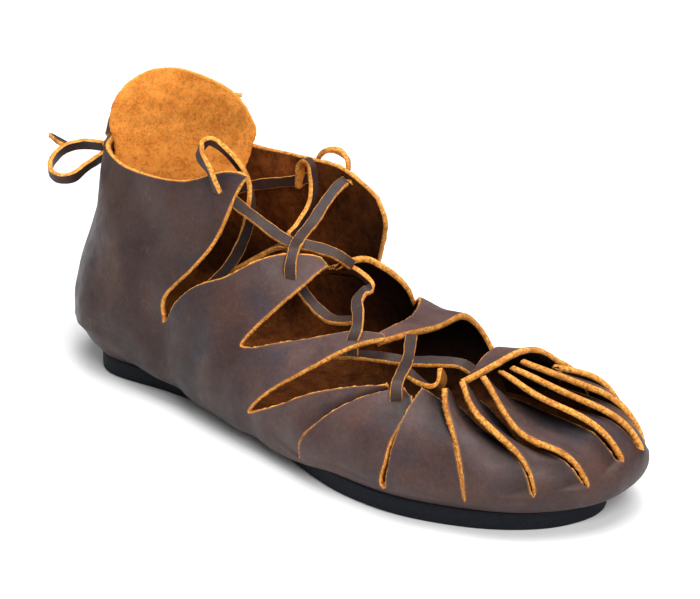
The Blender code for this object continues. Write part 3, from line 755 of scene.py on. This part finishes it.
def vertex_normals(points, faces):
    """Unit normals from the four-cornered faces round each point."""
    normals = np.zeros_like(points)
    for face in faces:
        corners = points[face]
        normals[face] += np.cross(corners[2] - corners[0], corners[3] - corners[1])
    return unit(normals)


def border_edges(faces):
    """Edges that only one face has, each from start to end along that face."""
    edges = dict.fromkeys(edge for face in faces for edge in zip(face, face[1:] + face[:1]))
    return [(start, end) for start, end in edges if (end, start) not in edges]


def cut_directions(points, normals, border):
    """Unit vectors that point out of a sheet across its border."""
    out = np.zeros_like(points)
    for start, end in border:
        away = np.cross(points[end] - points[start], normals[start] + normals[end])
        out[start] += away
        out[end] += away
    return unit(out)


def nearest_distances(points, marks):
    """How far each point is from the nearest mark."""
    tree = KDTree(len(marks))
    for number, mark in enumerate(marks):
        tree.insert(Vector(mark), number)
    tree.balance()
    return np.array([tree.find(Vector(p))[2] for p in points])


# Material numbers of a leather piece, and the form of its cut edge in millimetres
GRAIN, FLESH, CUT = 0, 1, 2
CUT_ROUND = 0.3
CUT_SWELL = 0.55
RING_DEPTHS = (0.2, 0.5, 0.8)
FIBRE = 0.15
FIBRE_SEED = 11


def leather_piece(name, outer, faces, materials, floor=None, thicker=0.0, slants=0.0, pared=0.0):
    """A sheet of leather: grain outside, flesh inside and a softly rounded, fibrous cut edge."""
    count = len(outer)
    border = border_edges(faces + ([floor] if floor else []))
    rim = sorted({v for edge in border for v in edge})
    normals = vertex_normals(outer, faces)
    out = cut_directions(outer, normals, border)[rim]
    from_edge = nearest_distances(outer, outer[rim])
    thick = LEATHER + thicker - pared * np.exp(-from_edge / FRAY_WIDTH)
    inner = outer - normals * thick[:, None]
    inner[rim] += out * np.broadcast_to(slants, count)[rim][:, None]
    top, bottom, up = outer[rim], inner[rim], normals[rim]
    rng = np.random.default_rng(FIBRE_SEED)
    rings = [
        top + out * CUT_ROUND - up * CUT_ROUND,
        (top + bottom) / 2 + out * CUT_SWELL,
        bottom + out * CUT_ROUND + up * CUT_ROUND,
    ]
    rings = [ring + rng.normal(0, FIBRE, ring.shape) for ring in rings]

    place = {v: k for k, v in enumerate(rim)}
    shell = faces + [[v + count for v in reversed(face)] for face in faces]
    kinds = [GRAIN] * len(faces) + [FLESH] * len(faces)
    flat = []
    if floor:
        flat = [len(shell), len(shell) + 1]
        shell += [floor, [v + count for v in reversed(floor)]]
        kinds += [GRAIN, FLESH]
    for start, end in border:
        levels = [(start, end)]
        for ring in range(len(rings)):
            base = 2 * count + ring * len(rim)
            levels.append((base + place[start], base + place[end]))
        levels.append((start + count, end + count))
        shell += [[b, a, c, d] for (a, b), (c, d) in zip(levels, levels[1:])]
        kinds += [CUT] * (len(levels) - 1)
    piece = new_piece(name, np.vstack([outer, inner] + rings), shell, kinds, materials, flat)
    in_rings = np.repeat(RING_DEPTHS, len(rim))
    set_attribute(piece, "from_edge", np.concatenate([from_edge, from_edge, np.zeros(len(in_rings))]))
    set_attribute(piece, "cut_depth", np.concatenate([np.zeros(count), np.ones(count), in_rings]))
    return piece


# Pieces

# A point of the hide: whether it is in the inner quarter or a petal, its rib number and share, and its bend
HidePoint = namedtuple(
    "HidePoint",
    "quarter place share petal fold drape thicker slant",
    defaults=(False, 0.0, STILL, 0.0, 0.0),
)


def hide_mesh():
    """The hide's points, its faces and the outline of its floor."""
    entries, seen, faces, floor = [], {}, [], []

    def vertex(key, point):
        if key not in seen:
            seen[key] = len(entries)
            entries.append(point)
        return seen[key]

    def shared(place, share):
        return (round(place % RIB_COUNT, KEY_DIGITS), round(share, KEY_DIGITS))

    for number, (quarter, plain_grid) in enumerate(tab_grids()):
        grid = tuck_under(number, plain_grid)
        rows, columns = grid.shape[:2]
        folds = fold_depths(number, columns)
        drapes = drape_shifts(number, columns)
        edge = FIRST_EDGES.get(number, PLAIN_EDGE)
        rim = []
        for row in range(RIM_ROWS + 1):
            marks = [(place, share * row / RIM_ROWS) for place, share in grid[0]]
            rim.append([vertex(shared(*mark), HidePoint(quarter, *mark)) for mark in marks])
        tab = [rim[-1]]
        for r in range(1, rows):
            line = []
            for c in range(columns):
                place, share = grid[r, c]
                at_heel = abs((place + 1) % RIB_COUNT - 1) < TINY
                key = shared(place, share) if at_heel else (number, r, c)
                thicker = edge.thicker * np.exp(-c * TAB_COLUMN_MM / FRAY_WIDTH)
                slant = edge.slant if c == 0 else 0.0
                bend = (number in FOLDS, folds[r, c], drapes[r, c], thicker, slant)
                line.append(vertex(key, HidePoint(quarter, place, share, *bend)))
            tab.append(line)
        for lines in (rim, tab):
            for low, high in zip(lines, lines[1:]):
                faces += [list(quad) for quad in zip(low, low[1:], high[1:], high)]
        floor += rim[0][:-1]
    return entries, faces, floor[::-1]


def make_upper(materials):
    """One hide: floor, turned-up rim and all tabs."""
    entries, faces, floor = hide_mesh()
    hide = HidePoint(*(np.array(column) for column in zip(*entries)))
    outer = np.zeros((len(entries), 3))
    normals = np.zeros_like(outer)
    for table, rows in ((RIB_TABLE, ~hide.quarter), (QUARTER_TABLE, hide.quarter)):
        outer[rows] = hide_points(table, hide.place[rows], hide.share[rows])
        normals[rows] = hide_normals(table, hide.place[rows], hide.share[rows])
    relief = (wave_heights(outer) + crease_heights(outer)) * smooth(hide.share / RELIEF_FULL)
    outer += normals * (relief - hide.fold)[:, None] + hide.drape
    piece = leather_piece("upper_hide", outer, faces, materials, floor, hide.thicker, hide.slant)
    # Painted shade in stops: the grain darkens in its folds and where the petals gather, the flesh side in
    # patches; the cut edge gets none
    grain_shade_stops = SUNK_SHADE_STOPS * smooth((hide.fold - SUNK_START) / (SUNK_FULL - SUNK_START))
    grain_shade_stops += patch_shade_stops(outer, PETAL_SHADE_PATCHES) * hide.petal
    flesh_shade_stops = patch_shade_stops(outer, FLESH_SHADE_PATCHES)
    cut_shade_stops = np.zeros(len(piece.data.vertices) - 2 * len(outer))
    set_attribute(piece, "stops", np.concatenate([grain_shade_stops, flesh_shade_stops, cut_shade_stops]))
    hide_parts("upper")


def make_heel_tab(materials):
    """The tab folded up inside the heel, its flesh side to the front."""
    rows = smooth_curve(HEEL_TAB_ROWS, HEEL_TAB_FINE * (len(HEEL_TAB_ROWS) - 1) + 1)
    along = np.array([np.cos(HEEL_TAB_TURN), np.sin(HEEL_TAB_TURN), 0])
    back = np.array([-np.sin(HEEL_TAB_TURN), np.cos(HEEL_TAB_TURN), 0])
    heights, *sides = HEEL_TAB_SPREAD.T
    wider = [np.interp(rows[:, 2], heights, side) for side in sides]
    points = np.array(
        [
            np.array([x, y, z])
            + along * s * (half + (inner if s > 0 else outer))
            + back * (bow * (1 - s * s) + LEATHER)
            for (x, y, z, half, bow), outer, inner in zip(rows, *wider)
            for s in np.linspace(-1, 1, HEEL_TAB_COLUMNS + 1)
        ]
    )
    width = HEEL_TAB_COLUMNS + 1
    faces = [
        [low + 1, low, low + width, low + width + 1]
        for row in range(len(rows) - 1)
        for low in range(row * width, row * width + HEEL_TAB_COLUMNS)
    ]
    piece = leather_piece("heel_tab_leather", points, faces, materials, pared=HEEL_TAB_PARED)
    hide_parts("heel_tab")


# The sole's side from the ground up: inset from the outline and height
SoleRow = namedtuple("SoleRow", "inset z")
SOLE_PROFILE = [
    SoleRow(1.2, 0.0),
    SoleRow(0.55, 0.2),
    SoleRow(0.15, 0.6),
    SoleRow(0.0, 1.3),
    SoleRow(0.0, SOLE_THICKNESS / 2),
    SoleRow(0.0, SOLE_THICKNESS - 1.2),
    SoleRow(0.2, SOLE_THICKNESS - 0.4),
    SoleRow(0.7, SOLE_THICKNESS),
]


def make_outsole(material):
    """A flat foam sole with softly rounded edges."""
    places = np.arange(RIB_COUNT * OUTLINE_STEPS) / OUTLINE_STEPS
    edge = rib_values(RIB_TABLE, places)[:, :2]
    out = outward(RIB_TABLE, places)
    count = len(places)
    rings = [np.column_stack([edge - out * row.inset, np.full(count, row.z)]) for row in SOLE_PROFILE]
    last = (len(rings) - 1) * count
    faces = [list(reversed(range(count))), list(range(last, last + count))]
    faces += ring_faces(len(rings), count)
    piece = new_piece("foam_outsole", np.vstack(rings), faces, [0] * len(faces), [material], flat=(0, 1))
    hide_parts("outsole")


# Thongs: bevel, the length and end width of a tapered tip, and how the hand-cut width wavers
THONG_BEVEL = 0.3
THONG_TAPER = 9.0
THONG_TIP = 0.45
WidthWave = namedtuple("WidthWave", "height per_mm phase")
THONG_WAVES = [WidthWave(0.05, 0.31, 0), WidthWave(0.03, 0.83, 1)]


def thong_line(route):
    """Evenly spaced points on a thong's middle line, its facing there and the lengths travelled."""
    points = route.into + route.points + route.out_of
    faces = route.faces if isinstance(route.faces, list) else [route.faces] * len(route.points)
    faces = [faces[0]] * len(route.into) + faces + [faces[-1]] * len(route.out_of)
    rough, facing = (smooth_curve(values, len(points) * THONG_FINE) for values in (points, faces))
    travelled = travelled_along(rough)
    steps = max(LEAST_STEPS, round(travelled[-1] / THONG_STEP))
    marks = np.linspace(0, travelled[-1], steps + 1)
    line, facing = (
        np.stack([np.interp(marks, travelled, column) for column in values.T], axis=1)
        for values in (rough, facing)
    )
    return line, facing, marks


def thong_shape(route, tapered):
    """Points, faces and material numbers of one flat thong with bevelled edges."""
    line, facing, marks = thong_line(route)
    along = unit(np.gradient(line, axis=0))
    face = unit(facing - along * np.sum(along * facing, axis=1, keepdims=True))
    side = np.cross(along, face)
    narrow = 1 + sum(wave.height * np.sin(marks * wave.per_mm + wave.phase) for wave in THONG_WAVES)
    if tapered:
        narrow *= THONG_TIP + (1 - THONG_TIP) * smooth((marks[-1] - marks) / THONG_TAPER)
    wide = (THONG_WIDTH / 2 * narrow)[:, None]
    deep = THONG_THICKNESS / 2
    bevel = THONG_BEVEL
    section = [
        (-1, bevel, deep), (1, -bevel, deep), (1, 0, deep - bevel), (1, 0, bevel - deep),
        (1, -bevel, -deep), (-1, bevel, -deep), (-1, 0, bevel - deep), (-1, 0, deep - bevel),
    ]
    kinds_round = [GRAIN, CUT, CUT, CUT, FLESH, CUT, CUT, CUT]
    rings = [line + side * (hand * wide + inset) + face * height for hand, inset, height in section]
    count = len(section)
    last = (len(line) - 1) * count
    faces = [list(range(count)), list(reversed(range(last, last + count)))]
    faces += [[b, a, d, c] for a, b, c, d in ring_faces(len(line), count)]
    kinds = [CUT, CUT] + kinds_round * (len(line) - 1)
    return np.stack(rings, axis=1).reshape(-1, 3), faces, kinds


def thong_piece(name, routes, node, materials, tapered=False):
    """Stretches of lace that stand for one solid."""
    points, faces, kinds = [], [], []
    for route in routes:
        strand_points, strand_faces, strand_kinds = thong_shape(route, tapered)
        faces += [[v + len(points) for v in face] for face in strand_faces]
        points += list(strand_points)
        kinds += strand_kinds
    piece = new_piece(name, points, faces, kinds, materials)
    set_attribute(piece, "from_edge", np.full(len(points), THONG_WIDTH))
    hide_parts(node)
    return piece


# Free stretches of lace: what is at the far end, and whether they twist or taper
Cord = namedtuple("Cord", "name route far_end twisted tapered")
CORDS = [
    Cord("outer_ear_loop", OUTER_EAR_LOOP, "object", True, False),
    Cord("inner_ear_loop", INNER_EAR_LOOP, "object", False, False),
    Cord("inner_strand", INNER_STRAND, "bare", False, False),
    Cord("bow_outer_loop", BOW_OUTER_LOOP, "object", True, False),
    Cord("bow_inner_loop", BOW_INNER_LOOP, "object", False, False),
    Cord("bow_outer_end", BOW_OUTER_END, "bare", False, True),
    Cord("bow_inner_end", BOW_INNER_END, "bare", False, True),
]


def make_cord(cord, materials):
    """A free stretch of lace."""
    piece = thong_piece(cord.name, [cord.route], "lace_" + cord.name, materials, cord.tapered)


# The knot's mesh, how deep its wraps are, how they run in x, y and z, and how they wear
KNOT_SEGMENTS = 40
KNOT_RINGS = 24
KNOT_GROOVE = 0.10
KNOT_WRAPS = (0, 5, 2.2)
KNOT_WEAR = 8.0


def make_knot(materials):
    """The bow's knot: a lump of thong with the wraps showing as grooves."""
    work = bmesh.new()
    bmesh.ops.create_uvsphere(work, u_segments=KNOT_SEGMENTS, v_segments=KNOT_RINGS, radius=1)
    directions = np.array([v.co for v in work.verts])
    faces = [[v.index for v in face.verts] for face in work.faces]
    work.free()
    grooves = KNOT_GROOVE * np.abs(np.sin(directions @ KNOT_WRAPS))
    points = np.asarray(KNOT_CENTRE) + directions * KNOT_RADII * (1 - grooves)[:, None]
    piece = new_piece("bow_knot", points, faces, [GRAIN] * len(faces), materials)
    set_attribute(piece, "from_edge", grooves * KNOT_WEAR)
    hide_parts("lace_bow_knot")
    return piece


# Materials

# Spots of noise: their size in millimetres, and the noise's range low to high that runs from start to end
Spots = namedtuple("Spots", "size detail roughness low high start end distortion", defaults=(0.0, 1.0, 0.0))
CLOUDS = Spots(34, 4, 0.62, 0.34, 0.66, distortion=0.5)
WARM_AREAS = Spots(21, 3, 0.55, 0.50, 0.68, distortion=0.3)
COOL_AREAS = Spots(27, 3, 0.55, 0.54, 0.70, distortion=0.6)
GRAIN_SPECKS = Spots(1.6, 4, 0.65, 0.3, 0.75, 0.80, 1.16)
SCUFFS = Spots(5, 6, 0.72, 0.60, 0.78, 0.0, 0.28, distortion=1.2)
RUBBED_PATCHES = Spots(3, 3, 0.6, 0.35, 0.65, 0.15, 1.0)
SATIN = Spots(6, 3, 0.55, 0.3, 0.7, 0.42, 0.58)
MOTTLE = Spots(6, 6, 0.72, 0.34, 0.66)
PITS = Spots(1.3, 4, 0.7, 0.28, 0.52, 0.55, 1.0)
NAP = Spots(0.6, 4, 0.7, 0.25, 0.75, 0.78, 1.2)
CUT_FIBRES = Spots(1.1, 5, 0.75, 0.38, 0.62)
CUT_STAINS = Spots(9, 3, 0.6, 0.5, 0.75)
FOAM_SPECKS = Spots(0.7, 3, 0.7, 0.45, 0.75)

# How a mesh's own number, from low to high, runs from start to end
Ramp = namedtuple("Ramp", "low high start end")
RUBBED_EDGE = Ramp(0.05, 0.7, 0.9, 0.0)
# Painted shade: the cut edge darkens from its middle towards the flesh side
CUT_PAINTED_SHADE = Ramp(0.4, 1.0, 1.0, 0.4)

# Bumps: size of the spots and depth in millimetres; cells are round, the others are noise
Relief = namedtuple("Relief", "size depth strength detail roughness", defaults=(4, 0.6))
SOFT_FOLDS = Relief(4, 0.30, 0.40)
PORE_CELLS = Relief(0.9, 0.12, 0.35)
NAP_RELIEF = Relief(0.7, 0.35, 0.7, 5, 0.75)
CUT_RELIEF = Relief(0.6, 0.3, 0.6, 4, 0.7)
FOAM_CELLS = Relief(0.8, 0.25, 0.5)

# Painted light and shade: how a colour brightens from one place to another along one of the shoe's axes, in
# metres
Shade = namedtuple("Shade", "axis start end low high")

# Sockets of the mix node when it mixes colours
MIX_FACTOR, MIX_FIRST, MIX_SECOND, MIX_RESULT = 0, 6, 7, 2


def set_inputs(tree, made, inputs):
    """A node's inputs linked to other nodes' sockets, or set to opaque colours or numbers."""
    for key, value in inputs.items():
        if isinstance(value, bpy.types.NodeSocket):
            tree.links.new(value, made.inputs[key])
        else:
            made.inputs[key].default_value = (*value, 1) if isinstance(value, tuple) else value


def add_node(tree, kind, inputs, **settings):
    """A shader node with its inputs and settings."""
    made = tree.nodes.new(kind)
    for key, value in settings.items():
        setattr(made, key, value)
    set_inputs(tree, made, inputs)
    return made


def new_material(name):
    """A material, its node tree and the object's own coordinates."""
    material = bpy.data.materials.new(name)
    material.use_nodes = True
    tree = material.node_tree
    return material, tree, tree.nodes.new("ShaderNodeTexCoord").outputs["Object"]


def finished(material, looks):
    """A material with its shader's inputs set."""
    tree = material.node_tree
    set_inputs(tree, tree.nodes["Principled BSDF"], looks)
    return material


def noise(tree, place, pattern, distortion=0.0):
    """Noise with a pattern's size, detail and roughness."""
    values = {
        "Vector": place,
        "Scale": 1 / (pattern.size * MM),
        "Detail": pattern.detail,
        "Roughness": pattern.roughness,
        "Distortion": distortion,
    }
    return add_node(tree, "ShaderNodeTexNoise", values).outputs["Fac"]


def span(tree, value, low, high, start, end):
    """A value's range low to high mapped to start to end, and held there."""
    values = {"Value": value, "From Min": low, "From Max": high, "To Min": start, "To Max": end}
    return add_node(tree, "ShaderNodeMapRange", values).outputs["Result"]


def spots(tree, place, pattern):
    """A pattern of spots as a value."""
    value = noise(tree, place, pattern, pattern.distortion)
    return span(tree, value, pattern.low, pattern.high, pattern.start, pattern.end)


def mix(tree, factor, first, second):
    """Two colours mixed by a factor."""
    values = {MIX_FACTOR: factor, MIX_FIRST: first, MIX_SECOND: second}
    return add_node(tree, "ShaderNodeMix", values, data_type="RGBA").outputs[MIX_RESULT]


def bump(tree, relief, height, **below):
    """A bump of the given relief, over another one if its normal is given."""
    values = {"Strength": relief.strength, "Distance": relief.depth * MM, "Height": height, **below}
    return add_node(tree, "ShaderNodeBump", values).outputs["Normal"]


def cell_heights(tree, place, relief):
    """Heights of round cells of a relief's size."""
    values = {"Vector": place, "Scale": 1 / (relief.size * MM)}
    return add_node(tree, "ShaderNodeTexVoronoi", values).outputs["Distance"]


def vertex_value(tree, name):
    """A number that the mesh carries, or 0 where it carries none."""
    return add_node(tree, "ShaderNodeAttribute", {}, attribute_name=name).outputs["Fac"]


def scaled(tree, base, factor):
    """A colour made brighter or darker by a factor."""
    return add_node(tree, "ShaderNodeVectorMath", {0: base, "Scale": factor}, operation="SCALE").outputs[0]


def calculated(tree, operation, first, second):
    """The result of a calculation with two values."""
    return add_node(tree, "ShaderNodeMath", {0: first, 1: second}, operation=operation).outputs[0]


def shaded(tree, base, place, shades):
    """A colour with painted light and shade: made brighter or darker along the shoe, and by the mesh's own
    stops of painted shade.
    """
    base = scaled(tree, base, calculated(tree, "POWER", 2.0, vertex_value(tree, "stops")))
    axes = add_node(tree, "ShaderNodeSeparateXYZ", {0: place}).outputs
    for axis, *ramp in shades:
        base = scaled(tree, base, span(tree, axes[axis], *ramp))
    return base


def grain_leather(name, dark, light, warm, cool, worn, shades=()):
    """Oiled leather's grain side: cloudy colour, fine pores, scuffs and paler, rubbed edges, with painted
    light and shade.
    """
    material, tree, place = new_material(name)
    base = mix(tree, spots(tree, place, CLOUDS), dark, light)
    base = mix(tree, spots(tree, place, WARM_AREAS), base, warm)
    base = mix(tree, spots(tree, place, COOL_AREAS), base, cool)
    base = shaded(tree, scaled(tree, base, spots(tree, place, GRAIN_SPECKS)), place, shades)
    base = mix(tree, spots(tree, place, SCUFFS), base, worn)
    rubbed = span(tree, vertex_value(tree, "from_edge"), *RUBBED_EDGE)
    patchy = calculated(tree, "MULTIPLY", rubbed, spots(tree, place, RUBBED_PATCHES))
    folds = bump(tree, SOFT_FOLDS, noise(tree, place, SOFT_FOLDS))
    return finished(material, {
        "Base Color": mix(tree, patchy, base, worn),
        "Roughness": spots(tree, place, SATIN),
        "Specular IOR Level": 0.22,
        "Normal": bump(tree, PORE_CELLS, cell_heights(tree, place, PORE_CELLS), Normal=folds),
    })


def flesh_leather(name, dark, light, shades):
    """The flesh side: mottled suede with a fibrous nap, with painted light and shade."""
    material, tree, place = new_material(name)
    nap = calculated(tree, "MULTIPLY", spots(tree, place, PITS), spots(tree, place, NAP))
    base = scaled(tree, mix(tree, spots(tree, place, MOTTLE), dark, light), nap)
    return finished(material, {
        "Base Color": shaded(tree, base, place, shades),
        "Roughness": 0.95,
        "Specular IOR Level": 0.08,
        "Normal": bump(tree, NAP_RELIEF, noise(tree, place, NAP_RELIEF)),
    })


def cut_leather(name, dark, light):
    """The cut edge: bright undyed fibres with darker specks, and painted shade towards the flesh side."""
    material, tree, place = new_material(name)
    fibres = mix(tree, spots(tree, place, CUT_FIBRES), dark, light)
    base = mix(tree, spots(tree, place, CUT_STAINS), fibres, dark)
    return finished(material, {
        "Base Color": scaled(tree, base, span(tree, vertex_value(tree, "cut_depth"), *CUT_PAINTED_SHADE)),
        "Roughness": 0.85,
        "Specular IOR Level": 0.25,
        "Normal": bump(tree, CUT_RELIEF, noise(tree, place, CUT_RELIEF)),
    })


def foam_rubber(name, dark, light):
    """Closed-cell foam: near black with a fine, even speckle."""
    material, tree, place = new_material(name)
    return finished(material, {
        "Base Color": mix(tree, spots(tree, place, FOAM_SPECKS), dark, light),
        "Roughness": 0.72,
        "Specular IOR Level": 0.2,
        "Normal": bump(tree, FOAM_CELLS, cell_heights(tree, place, FOAM_CELLS)),
    })


# Stage

def look_along(viewer, place, direction):
    """A camera or light put at a place, facing along a direction."""
    viewer.location = place
    viewer.rotation_mode = "QUATERNION"
    viewer.rotation_quaternion = direction.to_track_quat("-Z", "Y")


def make_camera():
    """The camera looks along the photo's line of sight at the shoe."""
    azimuth, elevation = math.radians(CAMERA_AZIMUTH), math.radians(CAMERA_ELEVATION)
    level = math.cos(elevation)
    back = Vector((math.sin(azimuth) * level, -math.cos(azimuth) * level, math.sin(elevation)))
    data = bpy.data.cameras.new("camera")
    data.lens = CAMERA_LENS
    data.sensor_width = SENSOR_WIDTH
    camera = add_object("camera", data)
    look_along(camera, Vector(CAMERA_TARGET) + back * CAMERA_DISTANCE, -back)
    bpy.context.scene.camera = camera


def make_stage():
    """Pale floor, soft studio lights and a bright surround."""
    bpy.context.scene.view_settings.view_transform = "Standard"
    half = FLOOR_SIZE / 2
    mesh = bpy.data.meshes.new("studio_floor")
    corners = [(-half, -half, 0), (half, -half, 0), (half, half, 0), (-half, half, 0)]
    mesh.from_pydata(corners, [], [(0, 1, 2, 3)])
    floor, *_ = new_material("studio_floor")
    mesh.materials.append(finished(floor, {"Base Color": FLOOR_COLOUR, "Roughness": FLOOR_ROUGHNESS}))
    add_object("studio_floor", mesh)
    world = bpy.data.worlds.new("studio")
    world.use_nodes = True
    surround = world.node_tree.nodes["Background"]
    set_inputs(world.node_tree, surround, {"Color": (1, 1, 1), "Strength": WORLD_LIGHT})
    bpy.context.scene.world = world
    for light in LIGHTS:
        data = bpy.data.lights.new(light.name, "AREA")
        data.shape = "SQUARE"
        data.size = light.size
        data.energy = light.power
        look_along(add_object(light.name, data), light.place, Vector(light.aim) - Vector(light.place))


def main():
    """All pieces, with their materials, and the stage."""
    grain = grain_leather(
        "oiled_grain",
        dark=(0.034, 0.017, 0.016),
        light=(0.070, 0.039, 0.035),
        warm=(0.070, 0.033, 0.024),
        cool=(0.038, 0.027, 0.032),
        worn=(0.27, 0.125, 0.048),
        # Painted light and shade: brighter towards the toe, darker again at its front and towards the ground
        shades=[
            Shade("X", -0.040, 0.020, 0.84, 1.50),
            Shade("X", 0.050, 0.100, 1.0, 0.80),
            Shade("Z", 0.012, 0.045, 0.64, 1.0),
        ],
    )
    lace_grain = grain_leather(
        "lace_grain",
        dark=(0.024, 0.012, 0.010),
        light=(0.048, 0.026, 0.022),
        warm=(0.046, 0.025, 0.018),
        cool=(0.025, 0.019, 0.022),
        worn=(0.22, 0.11, 0.045),
    )
    # The flesh side's lit copy, with painted light and shade by height: dark low down, brighter low on the
    # heel tab and at its top
    flesh = flesh_leather(
        "flesh_nap",
        dark=(0.58, 0.180, 0.028),
        light=(0.92, 0.35, 0.062),
        shades=[
            Shade("Z", 0.040, 0.078, 0.10, 1.0),
            Shade("Z", 0.088, 0.103, 1.45, 1.0),
            Shade("Z", 0.104, 0.120, 1.0, 1.3),
        ],
    )
    # The flesh side's darker copy for inside the hide, with painted shade deep inside and painted light on
    # the floor and towards the heel
    inside = flesh_leather(
        "painted_shade_flesh",
        dark=(0.055, 0.014, 0.003),
        light=(0.16, 0.048, 0.010),
        shades=[
            Shade("Z", 0.035, 0.090, 0.6, 1.0),
            Shade("Z", 0.012, 0.030, 2.2, 1.0),
            Shade("X", -0.060, -0.028, 2.3, 0.75),
        ],
    )
    cut = cut_leather("cut_edge", dark=(0.34, 0.105, 0.012), light=(0.90, 0.41, 0.080))
    foam = foam_rubber("speckled_foam", dark=(0.002, 0.003, 0.006), light=(0.009, 0.011, 0.018))
    thong = [lace_grain, flesh, cut]
    twisted_thong = [lace_grain, lace_grain, cut]

    make_upper([grain, inside, cut])
    make_heel_tab([grain, flesh, flesh])
    make_outsole(foam)
    thong_piece("instep_lace", INSTEP_CROSSINGS, "lace_instep", thong)
    thong_piece("midfoot_lace", MIDFOOT_CROSSINGS, "lace_midfoot", thong)
    thong_piece("toe_lace", TOE_CROSSINGS, "lace_toe", thong)
    thong_piece("collar_lace", [COLLAR_BAR], "lace_collar_bar", thong)
    knot = make_knot(thong)
    for cord in CORDS:
        make_cord(cord, twisted_thong if cord.twisted else thong)
    make_stage()
    make_camera()


main()
